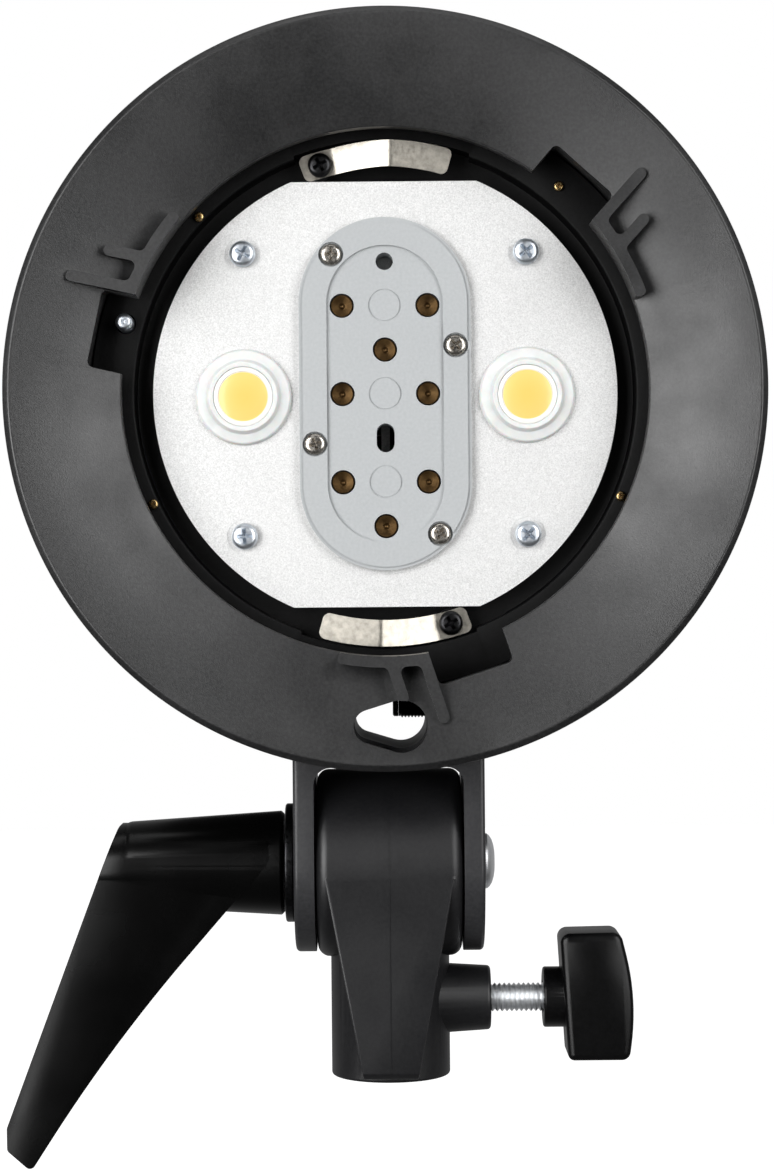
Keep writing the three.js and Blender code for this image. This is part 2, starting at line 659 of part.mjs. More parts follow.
function lockSlider() {
  const [, z] = polar(PIN.radius, PIN.angle);
  const bar = block([-66.5, -47], [0.6, 6.2], [z - 5, z + 5]);
  const ridges = [1.6, 3.4].map((y) => block([-67.2, -66], [y, y + 0.9], [z - 4.5, z + 4.5]));
  return joined(bar, ...ridges);
}

// ---------- yoke, tilt clamp and stand receiver ----------

function yoke() {
  const { inner, outer, halfDepth, bridgeBottom, bridgeBack } = YOKE;
  const top = HEAD_Z - HOUSING.height / 2 - GAP;
  const side = new THREE.Shape();
  side.moveTo(-halfDepth, top);
  side.lineTo(-halfDepth, TILT_Z);
  side.absarc(0, TILT_Z, halfDepth, Math.PI, 2 * Math.PI, false);
  side.lineTo(halfDepth, 70);
  side.lineTo(bridgeBack + 2, top);
  const body = sidewise(side, -outer, outer, 0.7);
  const gap = slab(outline([[-inner, 0], [inner, 0], [inner, bridgeBottom, 3.5],
    [-inner, bridgeBottom, 3.5]]), -30, 30);
  const mountSpace = moved(rod(CHAMBER.outer + GAP + 2.6 + 0.4, -60, HOUSING.front + 1 + GAP, "y", 60),
    0, 0, HEAD_Z);
  const rearSpace = block([-inner, inner], [bridgeBack, 40], [0, 100]);
  const tunnel = moved(slab(umbrellaHole(), -45, 45), 0, 0, UMBRELLA.z);
  const bolt = moved(rod(4 + GAP, -40, 40, "x"), 0, 0, TILT_Z);
  const screw = moved(rod(UMBRELLA_SCREW.r + GAP, -2.5, 40, "x"), 0,
    UMBRELLA_SCREW.y, UMBRELLA_SCREW.z);
  return cut(body, gap, mountSpace, rearSpace, tunnel, bolt, screw);
}

function tiltBolt() {
  const seat = YOKE.outer + GAP;
  const bolt = turned([
    [0, -31],
    [3.4, -31],
    [4, -30.4],
    [4, seat],
    [5.75, seat],
    [5.6, seat + 0.7],
    [4.4, seat + 1.6],
    [2.2, seat + 2.1],
    [0, seat + 2.2],
  ], "x", 20);
  const recess = sidewise(outline(Array.from({ length: 6 }, (_, k) => polar(2.3, 60 * k))),
    seat + 0.6, seat + 4);
  return moved(cut(bolt, recess), 0, 0, TILT_Z);
}

function tiltWasher() {
  const [from, to] = [-YOKE.outer - GAP - 1.8, -YOKE.outer - GAP];
  const washer = turned([[4 + GAP, from], [12, from], [12.3, from + 0.4], [12.3, to],
    [4 + GAP, to]], "x", 24);
  return moved(washer, 0, 0, TILT_Z);
}

// Tilt lever: conical hub on the bolt, flat blade running down and outwards from it. The blade
// wraps the front of the hub in a skin that sinks into the hub towards its top.
function tiltLever() {
  const { x, hubEnd, hubRoot, hubTip, skin } = LEVER;
  const hub = moved(turned([
    [0, hubEnd],
    [hubTip - 1.2, hubEnd],
    [hubTip, hubEnd + 1.2],
    [hubRoot, x - 0.8],
    [hubRoot - 0.6, x],
    [0, x],
  ], "x", 40), 0, 0, TILT_Z);
  const wrap = moved(turned([
    [0, hubEnd - 6],
    [hubTip + skin, hubEnd - 6],
    [hubTip + skin, hubEnd + 1.2],
    [hubRoot + skin, x - 0.8],
    [0, x - 0.8],
  ], "x", 40), 0, 0, TILT_Z - 2 * skin);
  const taper = sidewise(outline([[-5.2, -20], [5.2, -20], [hubTip, TILT_Z], [-hubTip, TILT_Z]]),
    -90, 0);
  const front = slab(outline([
    [-25.3, 53],
    [-55.6, 53, 2.2],
    [-79.4, -9.8, 1.5],
    [-79.4, -14.5, 1.2],
    [-74.5, -18.9, 1.2],
    [-57.2, 7.7, 341],
    [-24.5, 45.3, 4],
  ], 6), -15, 15);
  const blade = front.intersect(taper.add(wrap));
  const grooveLine = outline([[-67, 16], [-80.6, -13], [-78.2, -13.6], [-65.6, 14]]);
  const groove = slab(grooveLine, -1.6, 2.6);
  const bore = moved(rod(4 + GAP, -32, 0, "x"), 0, 0, TILT_Z);
  return cut(hub.add(blade), groove, bore);
}

function standReceiver() {
  const { halfWidth, radius, edge } = BARREL;
  const corner = (sign, angle) => [
    radius - edge + edge * Math.cos(angle),
    sign * (halfWidth - edge + edge * Math.sin(angle)),
  ];
  const angles = [90, 60, 30, 0].map(THREE.MathUtils.degToRad);
  const barrel = moved(turned([
    [0, -halfWidth],
    ...angles.map((angle) => corner(-1, angle)),
    ...[...angles].reverse().map((angle) => corner(1, angle)),
    [0, halfWidth],
  ], "x", 40), 0, 0, TILT_Z);
  const stem = turned([[0, 0], [STEM.radius - 0.6, 0], [STEM.radius, 0.6],
    [STEM.radius, TILT_Z], [0, TILT_Z]], "z", 36);
  const spineFront = slab(outline([[-13.2, 42.3], [-5.6, 1.2, 1.5], [5.6, 1.2, 1.5], [13.2, 42.3]]),
    -22, 0);
  const spineSide = sidewise(outline([[-19.32, 42.3], [-15.8, 2.4, 1], [-14.2, 0.4],
    [0, 0.4], [0, 42.3]]), -15, 15);
  const boss = moved(turned([[0, 0], [CLAMP.bossRoot, 8], [CLAMP.bossTip, CLAMP.bossEnd - 0.8],
    [CLAMP.bossTip - 0.8, CLAMP.bossEnd], [0, CLAMP.bossEnd]], "x", 24), 0, 0, CLAMP.z);
  const clampBore = moved(rod(CLAMP.r + GAP, 0, 40, "x"), 0, 0, CLAMP.z);
  const socket = rod(STEM.bore, -1, STEM.boreTop, "z", 28);
  const bolt = moved(rod(4 + GAP, -40, 40, "x"), 0, 0, TILT_Z);
  const whole = joined(barrel, stem, spineFront.intersect(spineSide), boss);
  return cut(whole, clampBore, socket, bolt);
}

function clampPad() {
  const tip = STEM.bore + GAP;
  return moved(turned([[0, tip], [2.2, tip], [2.7, tip + 0.5], [2.7, tip + 2.2], [0, tip + 2.2]],
    "x", 20), 0, 0, CLAMP.z);
}

function clampScrew() {
  const start = STEM.bore + 2 * GAP + 2.2;
  const [threadFrom, threadTo] = [CLAMP.bossEnd - 1.5, CLAMP.collar + 0.6];
  const tip = rod(CLAMP.r - 0.2, start, threadFrom + 0.8, "x");
  const tail = rod(CLAMP.r - 0.2, threadTo - 0.8, 44, "x");
  const thread = threadedRod(CLAMP.r, CLAMP.pitch, threadFrom, threadTo);
  return moved(joined(tip, thread, tail), 0, 0, CLAMP.z);
}

// Wing knob with a round collar; the outer side is convex and its upper corner is the fuller one.
function clampKnob() {
  const wing = slab(outline([
    [35, 29.4, 2],
    [47.6, 29.6, 2.2],
    [51, 15.5, 50],
    [49.2, 3.2, 1.8],
    [36.6, 3.2, 1.4],
  ], 5), -7, 7, 1.2);
  const collar = moved(turned([[0, CLAMP.collar], [5.9, CLAMP.collar], [6.25, CLAMP.collar + 0.4],
    [6.25, 38], [0, 38]], "x", 32), 0, 0, CLAMP.z);
  const bore = moved(rod(CLAMP.r + GAP, 20, 44 + GAP, "x"), 0, 0, CLAMP.z);
  return cut(wing.add(collar), bore);
}

function umbrellaTip() {
  const { r, tip, y, z } = UMBRELLA_SCREW;
  return moved(turned([[0, tip], [r - 0.6, tip], [r - 0.3, tip + 0.3], [r - 0.3, tip + 0.9],
    [0, tip + 0.9]], "x", 16), 0, y, z);
}

function umbrellaScrew() {
  const { r, tip, pitch, y, z } = UMBRELLA_SCREW;
  const start = tip + 0.9 + GAP;
  const threadEnd = UMBRELLA.wideX + UMBRELLA.wideR + 2;
  const thread = threadedRod(r, pitch, start, threadEnd, 10);
  return moved(thread.add(rod(r - 0.1, threadEnd - 0.6, 30, "x")), 0, y, z);
}

function umbrellaKnob() {
  const { r, y, z } = UMBRELLA_SCREW;
  const [from, to] = [22, 34];
  const lobes = Array.from({ length: 32 }, (_, k) => {
    const angle = (2 * Math.PI * k) / 32;
    const radius = 5.7 + 0.3 * Math.cos(8 * angle);
    return new THREE.Vector2(radius * Math.cos(angle), radius * Math.sin(angle));
  });
  const grip = sidewise(new THREE.Shape(lobes), from + 3, to, 0.5);
  const neck = rod(4, from, from + 4, "x");
  const bore = rod(r + GAP - 0.2, from - 1, 30 + GAP, "x", 16);
  return moved(cut(grip.add(neck), bore), 0, y, z);
}

// ---------- every node ----------

place(root, "stand_receiver", "cast", standReceiver());
place(root, "clamp_pad", "brass", clampPad());
place(root, "clamp_screw", "zinc", clampScrew());
place(root, "clamp_knob", "moulded", clampKnob());
place(root, "yoke", "cast", yoke());
place(root, "tilt_bolt", "zinc", tiltBolt());
place(root, "tilt_washer", "blackened", tiltWasher());
place(root, "tilt_lever", "moulded", tiltLever());
place(root, "umbrella_tip", "blackened", umbrellaTip());
place(root, "umbrella_screw", "blackened", umbrellaScrew());
place(root, "umbrella_knob", "moulded", umbrellaKnob());

place(head, "mount_ring", "moulded", mountRing());
place(head, "mount_chamber", "chamber", mountChamber());
place(head, "lock_pin", "zinc", lockPin());
place(head, "lock_slider", "moulded", lockSlider());
for (const [side, turn] of [["top", 0], ["bottom", 180]]) {
  const [x, z] = springScrewAt(turn);
  const seat = CHAMBER.floor - 0.9 - 2 * GAP - SPRING.thick;
  place(head, `leaf_spring_${side}`, "nickel", leafSpring(turn));
  place(head, `spring_screw_${side}`, "blackened", moved(panScrew(2.45, 1.5, 1.1, seat, 6), x, 0, z));
}
BRASS_SCREWS.forEach(([radius, angle], i) => {
  const [x, z] = polar(radius, angle);
  const screw = panScrew(1, 0.6, 0.5, CHAMBER.ledgeFront - GAP, 5, 10);
  place(head, `chamber_screw_${i + 1}`, "brass", moved(screw, x, 0, z));
});

place(head, "front_plate", "alloy", frontPlate());
place(head, "lamp_socket", "grey", lampSocket());
CONTACTS.forEach(([x, z], i) => place(head, `contact_${i + 1}`, "brass", moved(contact(), x, 0, z)));
PLATE_SCREWS.forEach(([x, z], i) => {
  const screw = panScrew(2.65, 1.7, 1.5, PLATE.front - GAP, 6).rotate([0, 20 + 35 * i, 0]);
  place(head, `plate_screw_${i + 1}`, "zinc", moved(screw, x, 0, z));
});
SOCKET_SCREWS.forEach(([x, z], i) => {
  const screw = panScrew(2.15, 1.1, 1, SOCKET.front + 1.1 - GAP, 5).rotate([0, 10 + 25 * i, 0]);
  place(head, `socket_screw_${i + 1}`, "zinc", moved(screw, x, 0, z));
});
for (const [side, sign] of [["left", -1], ["right", 1]]) {
  place(head, `lamp_seal_${side}`, "silicone", lampSeal(sign));
  place(head, `lamp_chip_${side}`, "phosphor", lampChip(sign));
}

place(head, "housing_shell", "moulded", housingShell());
place(head, "rear_panel", "moulded", rearPanel());
place(head, "display_window", "glass", displayWindow());
place(head, "control_dial", "moulded", controlDial());
place(head, "power_button", "red", pushButton(CONTROLS.power));
place(head, "mode_button", "grey", pushButton(CONTROLS.mode));
place(head, "test_button", "grey", pushButton(CONTROLS.test));
place(head, "battery_pack", "moulded", batteryPack());
place(head, "battery_latch", "red", batteryLatch());
place(head, "heat_sink", "alloy", heatSink());
place(head, "capacitor", "sleeve", capacitor());
place(head, "main_board", "board", mainBoard());
place(head, "fan_frame", "moulded", fanFrame());
place(head, "fan_rotor", "moulded", fanRotor());

export default root;
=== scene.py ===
import math

import bmesh
import bpy
from mathutils import Matrix, Vector

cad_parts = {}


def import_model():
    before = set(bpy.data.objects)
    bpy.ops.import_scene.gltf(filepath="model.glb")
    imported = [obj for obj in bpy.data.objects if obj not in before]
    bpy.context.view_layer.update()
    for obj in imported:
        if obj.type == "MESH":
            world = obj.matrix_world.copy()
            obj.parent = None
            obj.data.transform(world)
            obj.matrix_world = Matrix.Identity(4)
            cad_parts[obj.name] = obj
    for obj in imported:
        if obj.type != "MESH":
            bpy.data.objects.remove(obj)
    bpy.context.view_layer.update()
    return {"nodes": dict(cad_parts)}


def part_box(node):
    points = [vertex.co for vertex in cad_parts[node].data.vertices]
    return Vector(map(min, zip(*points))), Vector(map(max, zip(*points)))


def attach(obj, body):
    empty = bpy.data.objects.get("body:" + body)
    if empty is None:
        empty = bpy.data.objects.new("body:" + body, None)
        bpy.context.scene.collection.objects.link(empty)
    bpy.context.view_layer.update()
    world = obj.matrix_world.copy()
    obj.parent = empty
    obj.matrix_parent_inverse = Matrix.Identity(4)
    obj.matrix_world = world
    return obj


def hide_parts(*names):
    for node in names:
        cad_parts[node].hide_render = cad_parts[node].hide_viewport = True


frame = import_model()

MM = 0.001
GAP = 0.3  # clearance that neighbouring pieces keep


def box_mm(node):
    """Lowest and highest corner of a CAD node, in millimetres."""
    low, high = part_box(node)
    return Vector(low) / MM, Vector(high) / MM


def middle(node):
    low, high = box_mm(node)
    return (low + high) / 2


def depth_mm(node):
    """Front and back of a CAD node, along Y."""
    low, high = box_mm(node)
    return low.y, high.y


# ---------- driving places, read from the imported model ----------
RING_LOW, RING_HIGH = box_mm("mount_ring")
HEAD_Z = (RING_LOW.z + RING_HIGH.z) / 2
RING_R = (RING_HIGH.x - RING_LOW.x) / 2
RIM_FRONT = RING_LOW.y
CHAMBER_BACK = RING_HIGH.y
TILT_Z = middle("tilt_bolt").z
CLAMP_Z = middle("clamp_screw").z
UMBRELLA_SCREW = middle("umbrella_screw")
PLATE_FRONT, PLATE_BACK = depth_mm("front_plate")
SOCKET_FRONT, SOCKET_BACK = depth_mm("lamp_socket")
LEVER_FACE = box_mm("tilt_lever")[1].x
SHELL_BACK = depth_mm("housing_shell")[1]
PANEL_BACK = depth_mm("rear_panel")[1]

# ---------- sizes that the visible detail adds to them ----------
MOUTH_R = 52.4
MOUTH_FRONT = RIM_FRONT + 7.5
LIP_BACK = RIM_FRONT + 10.7
SLOT_ANGLES = (48, 168, 288)
CHAMBER_R = 59.1
LEDGE_R = 50.4
LEDGE_FRONT = LIP_BACK + 4.8
FLOOR = LIP_BACK + 8.1
GROOVE_FLOOR = FLOOR + 2.7
BORE_R = 34
PLATE_R = 46.7
PLATE_FLAT = 42.8
PLATE_SCREWS = [(28.5, 28.4), (-28.5, 28.4), (-28.5, -28.4), (28.5, -28.4)]
LAMP_X, LAMP_Z = 28.5, -0.4
SOCKET_SCREWS = [(-10.7, 28), (14.2, 9.6), (-14.2, -10), (10.8, -28.2)]
CONTACT_PITCH = 8.86
CONTACTS = [(x, row * CONTACT_PITCH) for row in (2, 1, 0, -2, -3)
            for x in ((0,) if row % 2 else (-8.6, 8.6))]
SPRING_INNER, SPRING_OUTER = 45.4, 50.7
SPRING_SEAT = FLOOR - 0.9
SPRING_THICK = 0.6
PIN_SHANK_R = 1.75
TUNNEL_Z = -66.2
EAR_IN, EAR_OUT = 15.2, 19.4
BOLT_R = 4
CLAMP_SCREW_R = 3
SPIGOT_R = 8.15
UMBRELLA_SCREW_R = 2.4
PANEL_THICK = 2.6


# ---------- mesh code ----------
def point_on(axis, along, u, v):
    """A point from its place along an axis and its two places across it."""
    return {"X": (along, u, v), "Y": (u, along, v), "Z": (u, v, along)}[axis]


def made(name, vertices, faces):
    """A new mesh object from millimetre vertices, its faces turned outwards."""
    mesh = bpy.data.meshes.new(name)
    mesh.from_pydata([Vector(v) * MM for v in vertices], [], faces)
    bm = bmesh.new()
    bm.from_mesh(mesh)
    bmesh.ops.recalc_face_normals(bm, faces=bm.faces)
    bm.to_mesh(mesh)
    bm.free()
    obj = bpy.data.objects.new(name, mesh)
    bpy.context.scene.collection.objects.link(obj)
    return obj


def turned(profile, axis="Y", segments=96, name="turned"):
    """Body of revolution from (radius, place along the axis) points. It closes on the axis
    where both ends are on it, and on itself otherwise."""
    on_axis = profile[0][0] == 0 and profile[-1][0] == 0
    vertices, rings = [], []
    for radius, along in profile:
        count = 1 if radius == 0 else segments
        rings.append(range(len(vertices), len(vertices) + count))
        for k in range(count):
            angle = math.tau * k / segments
            u, v = radius * math.cos(angle), radius * math.sin(angle)
            vertices.append(point_on(axis, along, u, v))
    faces = []
    for near, far in zip(rings, rings[1:] if on_axis else [*rings[1:], rings[0]]):
        for k in range(segments):
            after = (k + 1) % segments
            corners = [near[k % len(near)], near[after % len(near)],
                       far[after % len(far)], far[k % len(far)]]
            unique = list(dict.fromkeys(corners))
            if len(unique) > 2:
                faces.append(unique)
    return made(name, vertices, faces)


def prism(outline, start, end, axis="Y", shrink=1.0, name="prism"):
    """Straight extrusion of a closed outline; shrink scales its far end about the outline's origin."""
    count = len(outline)
    vertices = [point_on(axis, along, u * k, v * k)
                for along, k in ((start, 1), (end, shrink)) for u, v in outline]
    faces = [list(range(count)), list(range(2 * count - 1, count - 1, -1))]
    for k in range(count):
        after = (k + 1) % count
        faces.append([k, after, count + after, count + k])
    return made(name, vertices, faces)


def rod(radius, start, end, axis="Y", segments=48):
    return turned([(0, start), (radius, start), (radius, end), (0, end)], axis, segments)


def cross_rod(radius, start, end, z, segments=48):
    """Cylinder along X at a height."""
    return shifted(rod(radius, start, end, "X", segments), z=z)


def hole(radius, place, end=0.0):
    """Cutter along Y at an (x, z) place, from in front of the chamber back to `end`."""
    return shifted(rod(radius, -30, end), place[0], 0, place[1])


def block(low, high):
    """Box between two corners."""
    outline = [(low[0], low[2]), (high[0], low[2]), (high[0], high[2]), (low[0], high[2])]
    return prism(outline, low[1], high[1])


def rounded(corners, steps=6):
    """Closed outline through (u, v, radius) corners, each rounded by an arc."""
    points = []
    for i, corner in enumerate(corners):
        u, v, radius = corner if len(corner) == 3 else (*corner, 0)
        here = Vector((u, v))
        if radius == 0:
            points.append((u, v))
            continue
        back = (Vector(corners[i - 1][:2]) - here).normalized()
        on = (Vector(corners[(i + 1) % len(corners)][:2]) - here).normalized()
        half = back.angle(on) / 2
        centre = here + (back + on).normalized() * radius / math.sin(half)
        start = here + back * radius / math.tan(half) - centre
        end = here + on * radius / math.tan(half) - centre
        turn = math.atan2(start.cross(end), start.dot(end))
        for k in range(steps + 1):
            angle = turn * k / steps
            c, s = math.cos(angle), math.sin(angle)
            points.append((centre.x + c * start.x - s * start.y, centre.y + s * start.x + c * start.y))
    return points


def rect(left, low, right, high, low_radius, high_radius, steps=6):
    """Upright rectangle with one radius for its lower corners and one for its upper ones."""
    return rounded([(left, low, low_radius), (right, low, low_radius),
                    (right, high, high_radius), (left, high, high_radius)], steps)


def arc(radius, start, end, steps, at=(0, 0)):
    """Points on a circle between two angles in degrees."""
    angles = [math.radians(start + (end - start) * k / steps) for k in range(steps + 1)]
    return [(at[0] + radius * math.cos(a), at[1] + radius * math.sin(a)) for a in angles]


def long_round(width, height, steps=24):
    rise = (height - width) / 2
    return arc(width / 2, 0, 180, steps, (0, rise)) + arc(width / 2, 180, 360, steps, (0, -rise))


def polar(radius, degrees):
    angle = math.radians(degrees)
    return radius * math.cos(angle), radius * math.sin(angle)


def shifted(obj, x=0.0, y=0.0, z=0.0):
    obj.data.transform(Matrix.Translation(Vector((x, y, z)) * MM))
    return obj


def spun(obj, degrees, axis="Y"):
    """Turns a piece about an axis through the origin; about Y, from +X towards +Z."""
    sign = -1 if axis == "Y" else 1
    obj.data.transform(Matrix.Rotation(sign * math.radians(degrees), 4, axis))
    return obj


def evaluated(obj):
    """Makes a piece's modifiers part of its mesh."""
    graph = bpy.context.evaluated_depsgraph_get()
    mesh = bpy.data.meshes.new_from_object(obj.evaluated_get(graph))
    obj.modifiers.clear()
    obj.data = mesh
    return obj


def combine(obj, tools, operation):
    """Boolean of obj with each tool in turn; the tools are used up."""
    for tool in tools:
        step = obj.modifiers.new("solid", "BOOLEAN")
        step.operation = operation
        step.solver = "MANIFOLD"
        step.object = tool
        evaluated(obj)
        bpy.data.objects.remove(tool)
    return obj


def cut(obj, *tools):
    return combine(obj, tools, "DIFFERENCE")


def join(obj, *tools):
    return combine(obj, tools, "UNION")


def keep(obj, *tools):
    return combine(obj, tools, "INTERSECT")


def soften(obj, width=0.0, segments=2, angle=28):
    """Merges the crumbs a boolean leaves, shades the piece smooth and rounds its sharp edges."""
    crumb = 0.004 * MM
    bm = bmesh.new()
    bm.from_mesh(obj.data)
    bmesh.ops.remove_doubles(bm, verts=bm.verts, dist=crumb)
    bmesh.ops.dissolve_degenerate(bm, edges=bm.edges, dist=crumb)
    bm.to_mesh(obj.data)
    bm.free()
    mesh = obj.data
    mesh.polygons.foreach_set("use_smooth", [True] * len(mesh.polygons))
    mesh.set_sharp_from_angle(angle=math.radians(angle))
    if width:
        bevel = obj.modifiers.new("edges", "BEVEL")
        bevel.width = width * MM
        bevel.segments = segments
        bevel.limit_method = "ANGLE"
        bevel.angle_limit = math.radians(angle)
        bevel.use_clamp_overlap = True
        bevel.harden_normals = True
    return obj


def rounded_off(obj, width, segments=4, angle=28):
    """Rounds the sharp edges of a solid for good, before it is joined to another."""
    return evaluated(soften(obj, width, segments, angle))


def merged(objects):
    """Several separate solids as one object."""
    bm = bmesh.new()
    for obj in objects:
        bm.from_mesh(obj.data)
    mesh = bpy.data.meshes.new("merged")
    bm.to_mesh(mesh)
    bm.free()
    for obj in objects:
        bpy.data.objects.remove(obj)
    obj = bpy.data.objects.new("merged", mesh)
    bpy.context.scene.collection.objects.link(obj)
    return obj


def finished(obj, name, body, slot, material, *nodes):
    """Names a piece, gives it its material from MAT, and says what it moves with and stands for."""
    obj.name = name
    obj.data.name = name
    obj.data.materials.clear()
    obj.data.materials.append(MAT[material])
    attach(obj, body)
    if nodes:
        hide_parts(*nodes)
    return obj


def on_head(obj, *facts):
    return finished(shifted(obj, z=HEAD_Z), *facts)


# ---------- materials ----------
class Recipe:
    """A node material in the making, with short calls for the nodes that are used here."""

    def __init__(self, name, **sockets):
        self.material = bpy.data.materials.new(name)
        self.material.use_nodes = True
        self.tree = self.material.node_tree
        self.shader = self.tree.nodes["Principled BSDF"]
        for socket, value in sockets.items():
            self.shader.inputs[socket.replace("_", " ")].default_value = value
        self.place = self.tree.nodes.new("ShaderNodeTexCoord").outputs["Object"]

    def noise(self, size_mm, detail=2.0, roughness=0.5):
        """Noise whose largest features are about size_mm across."""
        noise = self.tree.nodes.new("ShaderNodeTexNoise")
        noise.inputs["Scale"].default_value = 1 / (size_mm * MM)
        noise.inputs["Detail"].default_value = detail
        noise.inputs["Roughness"].default_value = roughness
        self.tree.links.new(self.place, noise.inputs["Vector"])
        return noise.outputs["Fac"]

    def ramp(self, source, low, high, start=0.3, end=0.7):
        """Maps a value from 0 to 1 onto two colours or two greys."""
        ramp = self.tree.nodes.new("ShaderNodeValToRGB")
        for element, place, value in zip(ramp.color_ramp.elements, (start, end), (low, high)):
            element.position = place
            element.color = (*value, 1) if isinstance(value, tuple) else (value, value, value, 1)
        self.tree.links.new(source, ramp.inputs["Fac"])
        return ramp.outputs["Color"]

    def colour(self, source):
        self.tree.links.new(source, self.shader.inputs["Base Color"])

    def rough(self, source):
        self.tree.links.new(source, self.shader.inputs["Roughness"])

    def bump(self, source, depth_mm):
        """Adds relief on top of any relief there is already."""
        bump = self.tree.nodes.new("ShaderNodeBump")
        bump.inputs["Distance"].default_value = depth_mm * MM
        self.tree.links.new(source, bump.inputs["Height"])
        normal = self.shader.inputs["Normal"]
        if normal.is_linked:
            self.tree.links.new(normal.links[0].from_socket, bump.inputs["Normal"])
        self.tree.links.new(bump.outputs["Normal"], normal)


def surface(name, tint, gloss, relief=None, **sockets):
    """Material whose colour, roughness and relief each follow a noise: tint and gloss are the
    noise's settings and the values at its two ends, relief is its settings and a depth in mm."""
    recipe = Recipe(name, **sockets)
    recipe.colour(recipe.ramp(recipe.noise(*tint[0]), *tint[1:]))
    recipe.rough(recipe.ramp(recipe.noise(*gloss[0]), *gloss[1:]))
    if relief:
        recipe.bump(recipe.noise(*relief[0]), relief[1])
    return recipe.material


def grained(name, low, high, gloss=(0.42, 0.6), grain=0.45, depth=0.02, **sockets):
    """Spark-eroded moulding or casting: fine grain, with gloss that varies in faint blotches."""
    return surface(name, ((2 * grain, 3), low, high), ((14, 3), *gloss), ((grain, 3, 0.6), depth),
                   **sockets)


def metal(name, low, high, gloss=(0.16, 0.34), depth=0.004):
    """Plated or turned metal with faint mottling."""
    return surface(name, ((1.2, 3, 0.6), low, high), ((0.6, 3, 0.6), *gloss), ((0.3, 2), depth),
                   Metallic=1.0)


def blasted_alloy():
    """Bead-blasted clear anodised aluminium: bright and matt, with a faceted relief. Its sparkle is partly
    painted: the noise that raises the facets also paints glints into its colour as painted highlights.
    """
    painted_glint_and_facet_noise = (0.28, 3, 0.75)
    # the colour ramp paints the facets' sparkle as painted highlights; the relief from the same noise is
    # real
    return surface("blasted_alloy", (painted_glint_and_facet_noise, (0.58, 0.58, 0.575), (0.88, 0.88, 0.875)),
                   ((0.7, 2), 0.48, 0.65), (painted_glint_and_facet_noise, 0.03), Metallic=0.8)


def turned_brass():
    """Brass browned by heat, with the fine rings of a lathe tool left to the shape itself."""
    return surface("contact_brass", ((1.5, 3), (0.065, 0.036, 0.013), (0.13, 0.075, 0.028)),
                   ((0.5, 2), 0.28, 0.42), ((0.2, 2), 0.004), Metallic=0.9)


def silicone():
    """Milky translucent silicone."""
    return surface("silicone", ((3, 2), (0.66, 0.67, 0.66), (0.74, 0.75, 0.74)), ((2, 2), 0.38, 0.5),
                   ((1.2, 2), 0.008), Subsurface_Weight=0.25, Subsurface_Scale=0.002, IOR=1.41)


def glass():
    """Nearly black glass, glossy, with a clear coat."""
    return surface("display_glass", ((20, 2), (0.006, 0.008, 0.011), (0.01, 0.013, 0.017)),
                   ((8, 2), 0.05, 0.1), Coat_Weight=0.6)


def lit():
    """Pale blue display segments that give light."""
    return surface("lit_segments", ((1, 2), (0.3, 0.6, 0.8), (0.4, 0.7, 0.9)), ((1, 2), 0.3, 0.4),
                   Emission_Strength=1.2, Emission_Color=(0.35, 0.75, 1.0, 1))


def phosphor(side, place_x):
    """Yellow phosphor under clear resin, paler towards its rim. The ramp reads the distance
    from the lamp's middle, with 10 mm as its whole length."""
    ramp_length = 10 * MM
    recipe = Recipe(f"phosphor_{side}", Roughness=0.35, Coat_Weight=0.3)
    centre = recipe.tree.nodes.new("ShaderNodeVectorMath")
    centre.operation = "DISTANCE"
    centre.inputs[1].default_value = Vector((place_x, PLATE_FRONT - 2.2, HEAD_Z + LAMP_Z)) * MM
    recipe.tree.links.new(recipe.place, centre.inputs[0])
    scaled = recipe.tree.nodes.new("ShaderNodeMath")
    scaled.operation = "MULTIPLY"
    scaled.inputs[1].default_value = 1 / ramp_length
    recipe.tree.links.new(centre.outputs["Value"], scaled.inputs[0])
    dome = recipe.ramp(scaled.outputs[0], (0.93, 0.57, 0.14), (0.94, 0.61, 0.18), 0.1, 0.485)
    rim = dome.node.color_ramp.elements.new(0.5)
    rim.color = (0.85, 0.84, 0.8, 1)
    recipe.colour(dome)
    recipe.bump(recipe.noise(0.25, 2), 0.006)
    return recipe.material


